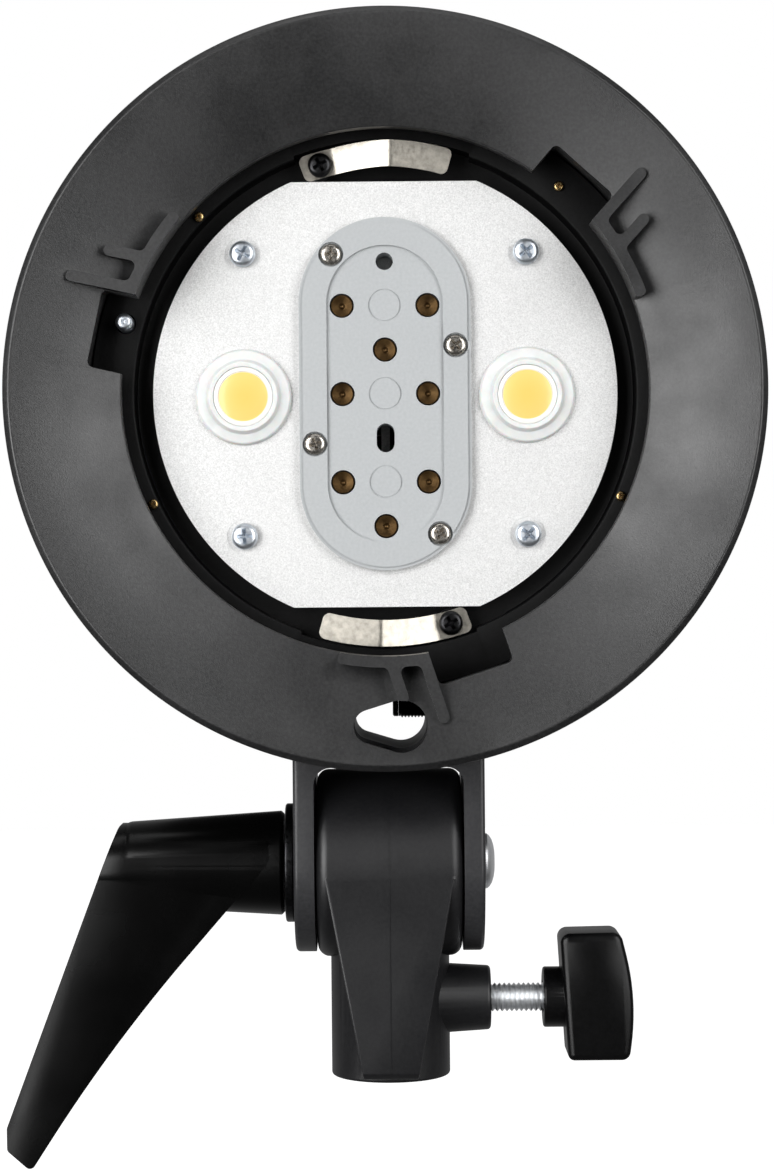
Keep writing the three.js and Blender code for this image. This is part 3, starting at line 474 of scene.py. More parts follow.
MAT = {
    "ring": grained("ring_black", (0.003, 0.003, 0.0033), (0.016, 0.016, 0.0165), (0.34, 0.5), 0.3, 0.03,
                    Specular_IOR_Level=0.7),
    "housing": grained("housing_black", (0.016, 0.016, 0.017), (0.028, 0.028, 0.03), grain=0.5),
    "lever": grained("lever_black", (0.0004, 0.0004, 0.0004), (0.001, 0.001, 0.001), (0.22, 0.3),
                     0.3, 0.004, Specular_IOR_Level=0.24),
    "knob": grained("knob_black", (0.0012, 0.0012, 0.0013), (0.003, 0.003, 0.0032), (0.26, 0.36),
                    0.4, 0.012, Specular_IOR_Level=0.26),
    "cast": grained("cast_black", (0.02, 0.02, 0.022), (0.032, 0.032, 0.034), (0.36, 0.48), 0.35, 0.012),
    "receiver": grained("receiver_black", (0.006, 0.006, 0.007), (0.011, 0.011, 0.012), (0.36, 0.46),
                        0.35, 0.01),
    "chamber": grained("chamber_black", (0.0012, 0.0012, 0.0012), (0.003, 0.003, 0.0032), (0.4, 0.55),
                       Specular_IOR_Level=0.18),
    "socket": grained("socket_grey", (0.4, 0.415, 0.422), (0.44, 0.455, 0.462), (0.4, 0.5), 0.3, 0.003),
    "key_grey": grained("key_grey", (0.3, 0.31, 0.32), (0.36, 0.37, 0.38)),
    "key_red": grained("key_red", (0.4, 0.02, 0.012), (0.5, 0.035, 0.02)),
    "mark": grained("mark_white", (0.7, 0.7, 0.7), (0.78, 0.78, 0.77)),
    "sleeve": grained("sleeve_blue", (0.015, 0.03, 0.13), (0.02, 0.045, 0.18), (0.15, 0.25), 6, 0.02),
    "board": grained("board_green", (0.02, 0.13, 0.05), (0.04, 0.2, 0.08), (0.3, 0.5), 2, 0.02),
    "alloy": blasted_alloy(),
    "zinc": metal("zinc", (0.55, 0.6, 0.66), (0.76, 0.8, 0.85), (0.3, 0.45)),
    "bright_zinc": metal("bright_zinc", (0.88, 0.9, 0.93), (0.96, 0.97, 0.98), (0.34, 0.48)),
    "steel": metal("steel", (0.42, 0.39, 0.35), (0.7, 0.66, 0.6)),
    "nickel": metal("nickel", (0.34, 0.32, 0.28), (0.52, 0.49, 0.43), (0.3, 0.45), depth=0.008),
    "brass": metal("brass", (0.42, 0.28, 0.12), (0.62, 0.44, 0.2)),
    "black_steel": metal("black_steel", (0.02, 0.02, 0.021), (0.04, 0.04, 0.042), (0.25, 0.4)),
    "contact": turned_brass(),
    "phosphor_left": phosphor("left", -LAMP_X),
    "phosphor_right": phosphor("right", LAMP_X),
    "silicone": silicone(),
    "glass": glass(),
    "lit": lit(),
}


# ---------- mount ring ----------
def cone_at(radius):
    """Front of the ring's dished face at a radius."""
    slope = (RIM_FRONT - MOUTH_FRONT) / (RING_R - 1.5 - MOUTH_R)
    return MOUTH_FRONT + slope * (radius - MOUTH_R)


def bayonet_slot(angle):
    """Cutter for one slot through the ring's lip, at an angle round the lamp axis."""
    reach, clockwise, counter = 58.7, 8.3, 7.1
    shape = rounded([(40, -clockwise), (reach, -clockwise, 1.2), (reach, counter, 1.2), (40, counter)])
    return spun(prism(shape, RIM_FRONT - 4, LIP_BACK + 1), angle)


def stop_rib(angle):
    """F-shaped stop beside a slot: an arm along the mouth and two prongs that point outwards,
    its inner corners filleted and its top standing proud of the dish all along."""
    width, fillet = 2.2, 1.2
    arm_r = MOUTH_R + width

    def beside(v, radius):
        return math.sqrt(radius**2 - v**2), v

    corners = [(*polar(MOUTH_R, -28.5), 0.6), (*polar(arm_r, -28.5), 0.9)]
    corners += [polar(arm_r, -25), polar(arm_r, -21.5)]
    for at, reach in ((-15.85, 59.5), (-9.5, 65.8)):
        low, high = at - width / 2, at + width / 2
        corners += [(*beside(low, arm_r), fillet), (reach, low, 1.09), (reach, high, 1.09)]
        corners.append((*beside(high, arm_r), fillet) if at < -10 else beside(high, MOUTH_R))
    corners += arc(MOUTH_R, -10.5, -27, 12)
    return spun(prism(rounded(corners), RIM_FRONT + 1.6, MOUTH_FRONT + 1), angle)


def umbrella_outline(extra=0.0):
    """Through-hole for an umbrella shaft: a wide round that merges into a narrow one."""
    wide_x, wide_r, narrow_x, narrow_r = 2.7, 5.1, -3.5, 3.3
    lean = math.degrees(math.asin((wide_r - narrow_r) / (wide_x - narrow_x)))
    side = 90 + lean
    return (arc(wide_r + extra, -side, side, 28, (wide_x, 0))
            + arc(narrow_r + extra, side, 360 - side, 18, (narrow_x, 0)))


def mount_ring():
    inner = CHAMBER_R + GAP
    wall_outer, wall_inner = inner + 2.6, RING_R - 2.4
    profile = rounded([
        (MOUTH_R, MOUTH_FRONT, 0.4),
        (RING_R - 1.3, RIM_FRONT, 0.6),
        (RING_R, RIM_FRONT + 1.1, 0.7),
        (RING_R, LIP_BACK + 0.3, 0.5),
        (wall_inner, LIP_BACK + 0.3, 0.4),
        (wall_inner, cone_at(wall_inner) + 3, 1),
        (wall_outer, cone_at(wall_outer) + 3, 1),
        (wall_outer, CHAMBER_BACK, 0.3),
        (inner, CHAMBER_BACK, 0.3),
        (inner, LIP_BACK, 0.3),
        (MOUTH_R, LIP_BACK, 0.3),
    ], 4)
    dish = turned(profile, "Y", 288)
    boss = shifted(prism(umbrella_outline(2), -31, -18.7), z=TUNNEL_Z)
    boss = cut(keep(boss, rod(RING_R - 0.5, -40, 0, segments=288)), rod(inner, LIP_BACK, 0, segments=288))
    ring = join(dish, boss, *[stop_rib(angle) for angle in SLOT_ANGLES])
    tunnel = shifted(prism(umbrella_outline(), -45, 0), z=TUNNEL_Z)
    skin = 1.5
    behind_face = turned([(0, cone_at(0) + skin), (RING_R, cone_at(RING_R) + skin), (RING_R, 0), (0, 0)])
    undercut = keep(shifted(prism(umbrella_outline(0.9), -45, 0), z=TUNNEL_Z), behind_face)
    ring = cut(ring, tunnel, undercut, *[bayonet_slot(angle) for angle in SLOT_ANGLES])
    on_head(soften(ring, 0.35), "ring_moulding", "head", "moulded_black", "ring", "mount_ring")


# ---------- bayonet chamber, springs and lock pin ----------
BRASS_SCREWS = [polar(54.3, 49.6), polar(51.6, 136), polar(51.6, 205), polar(51.6, 336)]
SPRING_SCREW = polar(47.9, 105.5)
PIN = polar(54, 164.4)


def pan_screw(head_r, head_height, shank_r, seat, length, turn=0.0):
    """Cross-recessed pan-head screw that faces -Y, its head standing on `seat`."""
    top = seat - head_height
    dome = [(0, 0), (0.62, 0.03), (0.8, 0.12), (0.93, 0.32), (1, 0.62), (1, 0.92), (0.97, 1)]
    profile = [(head_r * r, top + head_height * h) for r, h in dome]
    profile += [(shank_r, seat), (shank_r, seat + length), (0, seat + length)]
    arm, half, deep = 0.68 * head_r, 0.15 * head_r, 0.8 * head_height
    cross = [(u * c - v * s, u * s + v * c) for c, s in ((1, 0), (0, 1), (-1, 0), (0, -1))
             for u, v in ((arm, -half), (arm, half), (half, half))]
    recess = prism(cross, top - 0.2, top + deep, shrink=0.35)
    pit = prism(arc(0.26 * head_r, 0, 345, 23), top - 0.2, top + deep, shrink=0.3)
    return spun(cut(turned(profile, "Y", 40), recess, pit), turn)


def screw_set(places, turns, size, edge, name, node, slot, material):
    """One pan-head screw at each place, each turned by its own angle."""
    for i, ((x, z), turn) in enumerate(zip(places, turns), 1):
        screw = soften(shifted(pan_screw(*size, turn), x, 0, z), edge)
        on_head(screw, f"{name}_{i}", "head", slot, material, f"{node}_{i}")


def mount_chamber():
    body = turned(rounded([
        (BORE_R, FLOOR, 0.3),
        (PLATE_R - 1.2, FLOOR, 0.3),
        (PLATE_R - 1.2, GROOVE_FLOOR, 0.3),
        (LEDGE_R, GROOVE_FLOOR, 0.3),
        (LEDGE_R, LEDGE_FRONT, 0.5),
        (CHAMBER_R, LEDGE_FRONT, 0.3),
        (CHAMBER_R, CHAMBER_BACK, 0.3),
        (BORE_R, CHAMBER_BACK, 0.3),
    ], 3), "Y", 240)
    rim = SPRING_OUTER + 0.5
    frame_low = PLATE_FLAT + GAP
    for turn in (0, 180):
        pocket = keep(block((-24, FLOOR - 1, frame_low), (24, GROOVE_FLOOR, LEDGE_R)),
                      rod(LEDGE_R, FLOOR - 2, CHAMBER_BACK, segments=240))
        frame_edge = keep(prism(rect(-18, frame_low, 17.3, rim, 1.5, 2), LEDGE_FRONT - 1, GROOVE_FLOOR),
                          rod(rim, LEDGE_FRONT - 2, CHAMBER_BACK, segments=240))
        x, z = SPRING_SCREW
        seat = shifted(rod(2.9, SPRING_SEAT, CHAMBER_BACK - 0.5), x, 0, z)
        body = cut(body, spun(frame_edge, turn), spun(pocket, turn))
        body = join(body, spun(seat, turn))
        body = cut(body, spun(hole(1.35, SPRING_SCREW, CHAMBER_BACK + 1), turn))
    holes = [hole(0.8, place) for place in BRASS_SCREWS]
    holes += [hole(1.8, place) for place in PLATE_SCREWS]
    holes.append(hole(PIN_SHANK_R + GAP, PIN))
    on_head(soften(cut(body, *holes), 0.15), "chamber_moulding", "head", "chamber_black",
            "chamber", "mount_chamber")
    screw_set(BRASS_SCREWS, (0, 40, 80, 120), (1, 0.6, 0.5, LEDGE_FRONT - GAP, 5), 0.03,
              "brass_screw", "chamber_screw", "brass", "brass")


def spring_height(profile, place):
    """Height of the strip's front above its seat, read from a polyline of (place, height)."""
    for (s0, h0), (s1, h1) in zip(profile, profile[1:]):
        if s0 <= place <= s1:
            return h0 + (h1 - h0) * (place - s0) / max(s1 - s0, 1e-9)
    return profile[-1][1]


def leaf_spring(turn):
    """Sprung strip on an arc about the lamp axis: flat under its screw, a ramp up to a crease,
    then a gentle fall to a free end with rounded corners."""
    start, end, corner, steps = 74, 110, 1.4, 120
    centre_r, half = (SPRING_INNER + SPRING_OUTER) / 2, (SPRING_OUTER - SPRING_INNER) / 2
    seat = SPRING_SEAT - GAP
    crease, foot, length = (math.radians(angle - start) * centre_r for angle in (88.6, 102, end))
    bends = rounded([(0, 2.7), (crease, 4.2, 1.5), (foot, 0.05, 3), (length, 0)], 8)
    vertices, faces = [], []
    for k in range(steps + 1):
        place = length * (0.5 - 0.5 * math.cos(math.pi * k / steps))
        inset = max(corner - min(place, length - place), 0)
        reach = half - corner + math.sqrt(max(corner**2 - inset**2, 0))
        angle = start + math.degrees(place / centre_r)
        front = seat - spring_height(bends, place)
        inner, outer, back = centre_r - reach, centre_r + reach, front - SPRING_THICK
        for radius, y in ((inner, back), (outer, back), (outer, front), (inner, front)):
            x, z = polar(radius, angle)
            vertices.append((x, y, z))
    for k in range(steps):
        for side in range(4):
            here, after = 4 * k + side, 4 * k + (side + 1) % 4
            faces.append([here, after, after + 4, here + 4])
    faces += [[0, 1, 2, 3], [4 * steps + side for side in (3, 2, 1, 0)]]
    return spun(cut(made("strip", vertices, faces), hole(1.5, SPRING_SCREW)), turn)


def springs():
    x, z = SPRING_SCREW
    seat = SPRING_SEAT - 2 * GAP - SPRING_THICK
    for side, turn in (("top", 0), ("bottom", 180)):
        on_head(soften(leaf_spring(turn), 0.08, angle=40), f"spring_strip_{side}", f"spring_{side}",
                "spring_nickel", "nickel", f"leaf_spring_{side}")
        screw = spun(shifted(pan_screw(2.45, 1.5, 1.1, seat, 6, 30), x, 0, z), turn)
        on_head(soften(screw, 0.05), f"spring_fixing_{side}", "head", "black_steel",
                "black_steel", f"spring_screw_{side}")


def lock():
    """Spring-loaded pin with a faint centre mark in its tip, and the ridged tab that draws it back."""
    x, z = PIN
    tip = depth_mm("lock_pin")[0]
    profile = [(0, tip + 0.25), (0.3, tip + 0.2), (0.45, tip + 0.02), (0.9, tip), (1.25, tip + 0.15),
               (1.62, tip + 0.6), (PIN_SHANK_R, tip + 1.1), (PIN_SHANK_R, 0.3), (0, 0.3)]
    on_head(soften(shifted(turned(profile, "Y", 48), x, 0, z)), "lock_pin_turned", "mount_lock",
            "zinc_steel", "zinc", "lock_pin")
    bar = block((-66.5, 0.6, z - 5), (-47, 6.2, z + 5))
    ridges = [block((-67.2, y, z - 4.5), (-66, y + 0.9, z + 4.5)) for y in (1.2, 2.9, 4.6)]
    on_head(soften(join(bar, *ridges), 0.25), "lock_tab", "mount_lock", "moulded_black",
            "housing", "lock_slider")


# ---------- front plate, lamps and tube socket ----------
def front_plate():
    side = math.degrees(math.asin(PLATE_FLAT / PLATE_R))
    outline = arc(PLATE_R, -side, side, 90) + arc(PLATE_R, 180 - side, 180 + side, 90)
    plate = prism(outline, PLATE_FRONT, PLATE_BACK)
    opening = prism(long_round(32, 68.4), PLATE_FRONT - 1, PLATE_BACK + 1)
    seats = [hole(3.5, place, PLATE_FRONT + 0.12) for place in PLATE_SCREWS]
    holes = [hole(1.8, place) for place in PLATE_SCREWS]
    holes += [hole(7.1, (sign * LAMP_X, LAMP_Z)) for sign in (-1, 1)]
    on_head(soften(cut(plate, opening, *seats, *holes), 0.2), "plate_blasted", "head",
            "plate_alloy", "alloy", "front_plate")
    screw_set(PLATE_SCREWS, (38, 62, 3, 50), (2.65, 1.7, 1.5, PLATE_FRONT - GAP, 6), 0.05,
              "plate_fixing", "plate_screw", "zinc_steel", "zinc")


CONTACT_R = 2.15
SOCKET_SINK = 1.1  # depth of the contacts and of the screws' counterbores


def lamp_socket():
    """Moulding with a stepped rim round a sunk panel, which has a key hole, a key slot, three
    engraved circles, and holes for the contacts and screws."""
    seat, front = PLATE_FRONT - GAP, SOCKET_FRONT
    sunk = front + SOCKET_SINK
    flange = prism(long_round(34.5, 70.9, 40), front + 0.45, seat)
    raised = prism(long_round(33.1, 69.5, 40), front, seat)
    body = prism(long_round(30, 66.4, 40), seat - 0.5, SOCKET_BACK)
    tools = [prism(long_round(23.4, 59.6, 40), front - 1, front + 0.6)]
    tools.append(hole(1.75, (0, 3 * CONTACT_PITCH)))
    tools.append(shifted(prism(long_round(3.6, 5.8), -30, 0), 0, 0, -CONTACT_PITCH))
    tools += [hole(CONTACT_R + GAP, place) for place in CONTACTS]
    for place in SOCKET_SCREWS:
        tools += [hole(2.5, place, sunk), hole(1.3, place)]
    for row in (2, 0, -2):
        circle = turned([(3.0, front), (3.3, front), (3.3, front + 0.78), (3.0, front + 0.78)])
        tools.append(shifted(circle, 0, 0, row * CONTACT_PITCH))
    socket = cut(join(flange, raised, body), *tools)
    on_head(soften(socket, 0.3, 3), "socket_moulding", "head", "socket_grey", "socket", "lamp_socket")
    for i, (x, z) in enumerate(CONTACTS, 1):
        on_head(soften(shifted(contact(), x, 0, z)), f"contact_cup_{i}", "head", "brass",
                "contact", f"contact_{i}")
    screw_set(SOCKET_SCREWS, (0, 40, 20, 65), (2.15, 1.1, 1, sunk - GAP, 5), 0.04,
              "socket_fixing", "socket_screw", "zinc_steel", "steel")


def contact():
    """Turned contact cup: a cone down to a small bore, with the steps that the tool left."""
    front, back = SOCKET_FRONT + SOCKET_SINK, SOCKET_BACK + 0.5
    step, steps = 0.1, 7
    cone = [(CONTACT_R, front)]
    for k in range(steps):
        radius = CONTACT_R - step - 1.6 * k / steps
        cone += [(radius, front + step * k), (radius - 0.06, front + step * k + 0.07)]
    cone.append((0.3, front + 0.9))
    return turned([(0, front + 1.2), *reversed(cone), (CONTACT_R, back), (0, back)], "Y", 48)


def lamps():
    seat = PLATE_FRONT - GAP
    for side, sign in (("left", -1), ("right", 1)):
        ring = turned(rounded([
            (6, seat - 2.3, 0.1),
            (6.9, seat - 2.4, 0.2),
            (7.5, seat - 1.2, 0.3),
            (9.3, seat - 0.9, 0.5),
            (9.7, seat, 0.1),
            (6.8, seat),
            (6.8, PLATE_BACK),
            (6, PLATE_BACK),
        ], 4), "Y", 96)
        on_head(soften(shifted(ring, sign * LAMP_X, 0, LAMP_Z), angle=50), f"lamp_ring_{side}",
                "head", "silicone", "silicone", f"lamp_seal_{side}")
        face = seat - 1.9
        chip = turned([(0, face - 0.42), (1.5, face - 0.4), (3, face - 0.33), (4.3, face - 0.18),
                       (4.95, face), (5.05, face + 0.02), (5.1, face - 0.25), (5.8, face - 0.25),
                       (5.95, face - 0.1), (5.95, PLATE_BACK), (0, PLATE_BACK)], "Y", 96)
        on_head(soften(shifted(chip, sign * LAMP_X, 0, LAMP_Z), angle=50), f"lamp_emitter_{side}",
                "head", "phosphor", f"phosphor_{side}", f"lamp_chip_{side}")


# ---------- yoke, tilt clamp and stand receiver ----------
def yoke():
    """Inverted U whose ears hold the tilt bolt; the umbrella hole and its screw go through its bridge."""
    half_depth, top, gap_top = 18.4, HEAD_Z - 56.3, 64.8
    side = [(-half_depth, top), (-half_depth, TILT_Z)]
    side += arc(half_depth, 180, 360, 64, (0, TILT_Z))[1:]
    side += [(half_depth, 70), (14, top)]
    body = rounded_off(prism(side, -EAR_OUT, EAR_OUT, "X"), 0.9)
    gap = prism(rect(-EAR_IN, 0, EAR_IN, gap_top, 0, 3.5), -30, 30)
    mount = shifted(rod(CHAMBER_R + GAP + 3, -60, -6.7, segments=240), z=HEAD_Z)
    rear = block((-EAR_IN, 12, 0), (EAR_IN, 40, 100))
    tunnel = shifted(prism(umbrella_outline(), -45, 45), z=HEAD_Z + TUNNEL_Z)
    bolt = cross_rod(BOLT_R + GAP, -40, 40, TILT_Z)
    screw = shifted(cross_rod(UMBRELLA_SCREW_R + GAP, -2.5, 40, UMBRELLA_SCREW.z), y=UMBRELLA_SCREW.y)
    body = cut(body, gap, mount, rear, tunnel, bolt, screw)
    finished(soften(body, 0.12), "yoke_casting", "head", "cast_black", "cast", "yoke")


def tilt_bolt():
    """Bolt with a domed hexagon-socket head on the right, and the washer under the lever."""
    seat, thick = EAR_OUT + GAP, 1.8
    bolt = turned([(0, -31), (3.4, -31), (BOLT_R, -30.4), (BOLT_R, seat), (5.6, seat), (5.75, seat + 0.2),
                   (5.7, seat + 0.6), (5.3, seat + 1.1), (4.5, seat + 1.6), (3.4, seat + 1.95),
                   (2.2, seat + 2.15), (0, seat + 2.2)], "X", 64)
    recess = prism([polar(2.3, 60 * k) for k in range(6)], seat + 0.5, seat + 4, "X")
    finished(soften(shifted(cut(bolt, recess), z=TILT_Z), 0.1), "bolt_domed", "head", "zinc_steel",
             "bright_zinc", "tilt_bolt")
    washer = turned(rounded([(BOLT_R + GAP, -seat - thick), (12.3, -seat - thick, 0.5),
                             (12.3, -seat, 0.3), (BOLT_R + GAP, -seat)]), "X", 96)
    finished(soften(shifted(washer, z=TILT_Z)), "washer_pressed", "head", "black_steel",
             "black_steel", "tilt_washer")


def tilt_lever():
    """Conical hub, and a flat blade that runs down and outwards from it. The blade wraps the
    front of the hub in a thin skin that sinks into the hub towards its top."""
    hub_end, hub_root, hub_tip, skin, face = -55.6, 10.8, 8.7, 0.15, LEVER_FACE
    hub = shifted(turned(rounded([(0, hub_end), (hub_tip, hub_end, 2.4), (hub_root, face - 0.6, 0.4),
                                  (hub_root - 0.6, face, 0.2), (0, face)]), "X", 128), z=TILT_Z)
    wrap = shifted(turned([(0, hub_end - 6), (hub_tip + skin, hub_end - 6), (hub_tip + skin, hub_end + 1.2),
                           (hub_root + skin, face - 0.8), (0, face - 0.8)], "X", 128), z=TILT_Z - 2 * skin)
    taper = prism([(-5.2, -20), (5.2, -20), (hub_tip, TILT_Z), (-hub_tip, TILT_Z)], -90, 0, "X")
    front = prism(rounded([
        (-25.3, 53),
        (-55.6, 53, 2.2),
        (-79.4, -9.8, 1.5),
        (-79.4, -14.5, 1.2),
        (-74.5, -18.9, 1.2),
        (-57.2, 7.7, 341),
        (-24.5, 45.3, 4),
    ], 12), -15, 15)
    blade = rounded_off(keep(front, join(taper, wrap)), 2.3, 5, 35)
    groove = rounded([(-67, 16, 0.3), (-80.6, -13), (-78.2, -13.6, 0.4), (-65.6, 14, 0.4)])
    lever = cut(join(hub, blade), prism(groove, -1.6, 2.6), cross_rod(BOLT_R + GAP, -32, 0, TILT_Z))
    finished(soften(lever, 0.15), "lever_moulding", "tilt_clamp", "moulded_black", "lever",
             "tilt_lever")


def stand_receiver():
    """Barrel between the yoke's ears, stem with a tapering spine down its front, boss for the
    clamp screw, and the fine raised line that the casting die's halves leave down the middle.
    The spine's front is tangent to the barrel at spine_top and sinks into it above."""
    half_width, radius, edge, line = 14.9, 19.4, 2.5, 0.1
    barrel = turned(rounded([(0, -half_width), (radius, -half_width, edge), (radius, half_width, edge),
                             (0, half_width)], 8), "X", 128)
    barrel = shifted(barrel, z=TILT_Z)
    stem = turned(rounded([(0, 0), (12.3, 0, 0.6), (12.3, TILT_Z), (0, TILT_Z)]), "Z", 96)
    spine_top, buried_top = TILT_Z - 1.7, TILT_Z - 0.4

    def spine_side(extra):
        return rounded([(-18.9, buried_top), (-19.32 - extra, spine_top), (-15.8 - extra, 2.4, 1),
                        (-14.2 - extra, 0.4), (0, 0.4), (0, buried_top)])

    wide, narrow = 13.2, 5.6
    taper = prism([(-wide, buried_top), (-wide, spine_top), (-narrow, 1.2), (narrow, 1.2),
                   (wide, spine_top), (wide, buried_top)], -22, 0)
    spine = rounded_off(keep(taper, prism(spine_side(0), -15, 15, "X")), 0.35)
    boss = shifted(turned(rounded([(0, 0), (7.4, 8), (6.6, 20.8, 0.8), (0, 20.8)]), "X", 96), z=CLAMP_Z)
    bores = [cross_rod(CLAMP_SCREW_R + GAP, 0, 40, CLAMP_Z), rod(SPIGOT_R, -1, 36, "Z", 96),
             cross_rod(BOLT_R + GAP, -40, 40, TILT_Z)]
    receiver = cut(join(barrel, stem, spine, boss), *bores)
    finished(soften(receiver, 0.15), "receiver_casting", "base", "cast_black", "receiver",
             "stand_receiver")
    round_barrel = cut(cross_rod(radius + line, -line, line, TILT_Z, 128),
                       cross_rod(radius - 0.5, -1, 1, TILT_Z, 128))
    down_spine = cut(prism(spine_side(line), -line, line, "X"), prism(spine_side(-0.5), -1, 1, "X"))
    seam = join(keep(round_barrel, block((-1, -30, TILT_Z), (1, 0, TILT_Z + 14))),
                keep(down_spine, block((-1, -30, 2.4), (1, -14, TILT_Z - 2))))
    finished(soften(seam, 0), "receiver_seam", "base", "cast_black", "receiver")


def screw_thread(radius, pitch, start, end, segments=48):
    """Rod along X with a helical vee thread: each station is a ring whose radius follows the helix."""
    depth, run_out, per_turn = 0.58 * pitch, 0.8 * pitch, 16
    stations = int((end - start) / pitch * per_turn)
    vertices, faces = [], []
    for k in range(stations + 1):
        x = start + (end - start) * k / stations
        fade = min(1.0, (x - start) / run_out, (end - x) / run_out)
        for j in range(segments):
            phase = (x / pitch - j / segments) % 1.0
            r = radius - depth * (1 - fade * (1 - abs(2 * phase - 1)))
            angle = math.tau * j / segments
            vertices.append((x, r * math.cos(angle), r * math.sin(angle)))
    for k in range(stations):
        for j in range(segments):
            after = (j + 1) % segments
            faces.append([k * segments + j, k * segments + after,
                          (k + 1) * segments + after, (k + 1) * segments + j])
    faces += [list(range(segments - 1, -1, -1)), [stations * segments + j for j in range(segments)]]
    return made("thread", vertices, faces)


def clamp():
    """Screw from behind its pad out to the knob, and the knob: a wing on a round collar."""
    pad, collar, end = 2.2, 31.7, 44
    tip = SPIGOT_R + 2 * GAP + pad
    screw = join(screw_thread(CLAMP_SCREW_R, 1.0, tip, collar + 1), rod(2.4, collar + 0.5, end, "X"))
    finished(soften(shifted(screw, z=CLAMP_Z), angle=60), "clamp_thread", "clamp_spindle",
             "zinc_steel", "bright_zinc", "clamp_screw")
    wing = rounded_off(prism(rounded([
        (35, 29.4, 2),
        (47.6, 29.6, 2.2),
        (51, 15.5, 50),
        (49.2, 3.2, 1.8),
        (36.6, 3.2, 1.4),
    ], 10), -7, 7), 1.3)
    rim = turned(rounded([(0, collar), (6.25, collar, 0.5), (6.25, 38), (0, 38)]), "X", 96)
    knob = join(wing, shifted(rim, z=CLAMP_Z))
    bore = cross_rod(CLAMP_SCREW_R + GAP, 20, end + GAP, CLAMP_Z)
    finished(soften(cut(knob, bore), 0.3), "knob_moulding", "clamp_spindle",
             "moulded_black", "knob", "clamp_knob")


def umbrella_clamp():
    """Shoe that bears on the shaft, the fine screw behind it and its lobed knob."""
    y, z = UMBRELLA_SCREW.y, UMBRELLA_SCREW.z
    tip, thread_start, thread_end, end = 1, 2.2, 20, 30
    shoe_end = thread_start - 0.03
    shoe = turned([(0, tip), (1.8, tip), (2.1, tip + 0.3), (2.1, shoe_end), (0, shoe_end)], "X", 48)
    finished(soften(shifted(shoe, 0, y, z)), "umbrella_shoe_turned", "umbrella_shoe", "black_steel",
             "black_steel", "umbrella_tip")
    spindle = join(screw_thread(UMBRELLA_SCREW_R, 0.7, thread_start, thread_end),
                   rod(2.3, thread_end - 0.5, end, "X"))
    finished(soften(shifted(spindle, 0, y, z), angle=60), "umbrella_thread", "umbrella_spindle",
             "black_steel", "black_steel", "umbrella_screw")
    lobes, steps = 8, 128
    edge = [polar(5.7 + 0.3 * math.cos(lobes * math.tau * k / steps), 360 * k / steps)
            for k in range(steps)]
    grip = rounded_off(prism(edge, 25, 34, "X"), 0.5, 3)
    neck = turned(rounded([(0, 22), (4, 22, 0.3), (4, 26), (0, 26)]), "X", 64)
    bore = rod(2.5, 21, end + GAP, "X")
    knob = shifted(cut(join(grip, neck), bore), 0, y, z)
    finished(soften(knob, 0.15), "umbrella_knob_moulding", "umbrella_spindle", "moulded_black",
             "housing", "umbrella_knob")


# ---------- housing and its rear panel ----------
HOUSING_W, HOUSING_H, HOUSING_CORNER, HOUSING_WALL = 124, 112, 34, 2.5
DISPLAY_X, DISPLAY_Z, DISPLAY_W, DISPLAY_H = -17, 29, 54, 28
DIAL_X, DIAL_Z, DIAL_R = 33, 29, 13
JACK_X, JACK_Z, JACK_R = 47, 3, 1.9
KEYS = {"power": (-34, 3, 16, 7), "mode": (-8, 3, 16, 7), "test": (24, 3, 12, 7)}
LATCH_X, LATCH_Z, LATCH_W, LATCH_H = 0, -8, 18, 4
BATTERY_W, BATTERY_TOP, BATTERY_BOTTOM = 84, -14, -50
VENT_Y = [34 + 6 * k for k in range(6)]


def plate_shape(width, height, corner, front, back, steps=8):
    u, v = width / 2, height / 2
    return prism(rect(-u, -v, u, v, corner, corner, steps), front, back)


def housing_shell():
    front, back = -8, SHELL_BACK
    outer = rounded_off(plate_shape(HOUSING_W, HOUSING_H, HOUSING_CORNER, front, back + 6, 24), 2.4, 6)
    outer = keep(outer, block((-80, front - 1, -80), (80, back, 80)))
    seat = rod(60.5, CHAMBER_BACK + GAP, front + 1, segments=192)
    cavity = plate_shape(HOUSING_W - 2 * HOUSING_WALL, HOUSING_H - 2 * HOUSING_WALL,
                         HOUSING_CORNER - HOUSING_WALL, front + 4, back + 1, 24)
    pin_z = PIN[1]
    tools = [cavity, rod(BORE_R + 2, -20, 0, segments=128), hole(PIN_SHANK_R + GAP, PIN),
             block((-70, -0.5, pin_z - 5.6), (-50, 12.5, pin_z + 5.6))]
    for y in VENT_Y:
        vent = rect(y, -2, y + 3, 30, 1.4, 1.4)
        tools += [prism(vent, 54, 70, "X"), prism(vent, -70, -54, "X")]
    shell = cut(join(outer, seat), *tools)
    on_head(soften(shell, 0.3), "housing_moulding", "head", "moulded_black", "housing",
            "housing_shell")


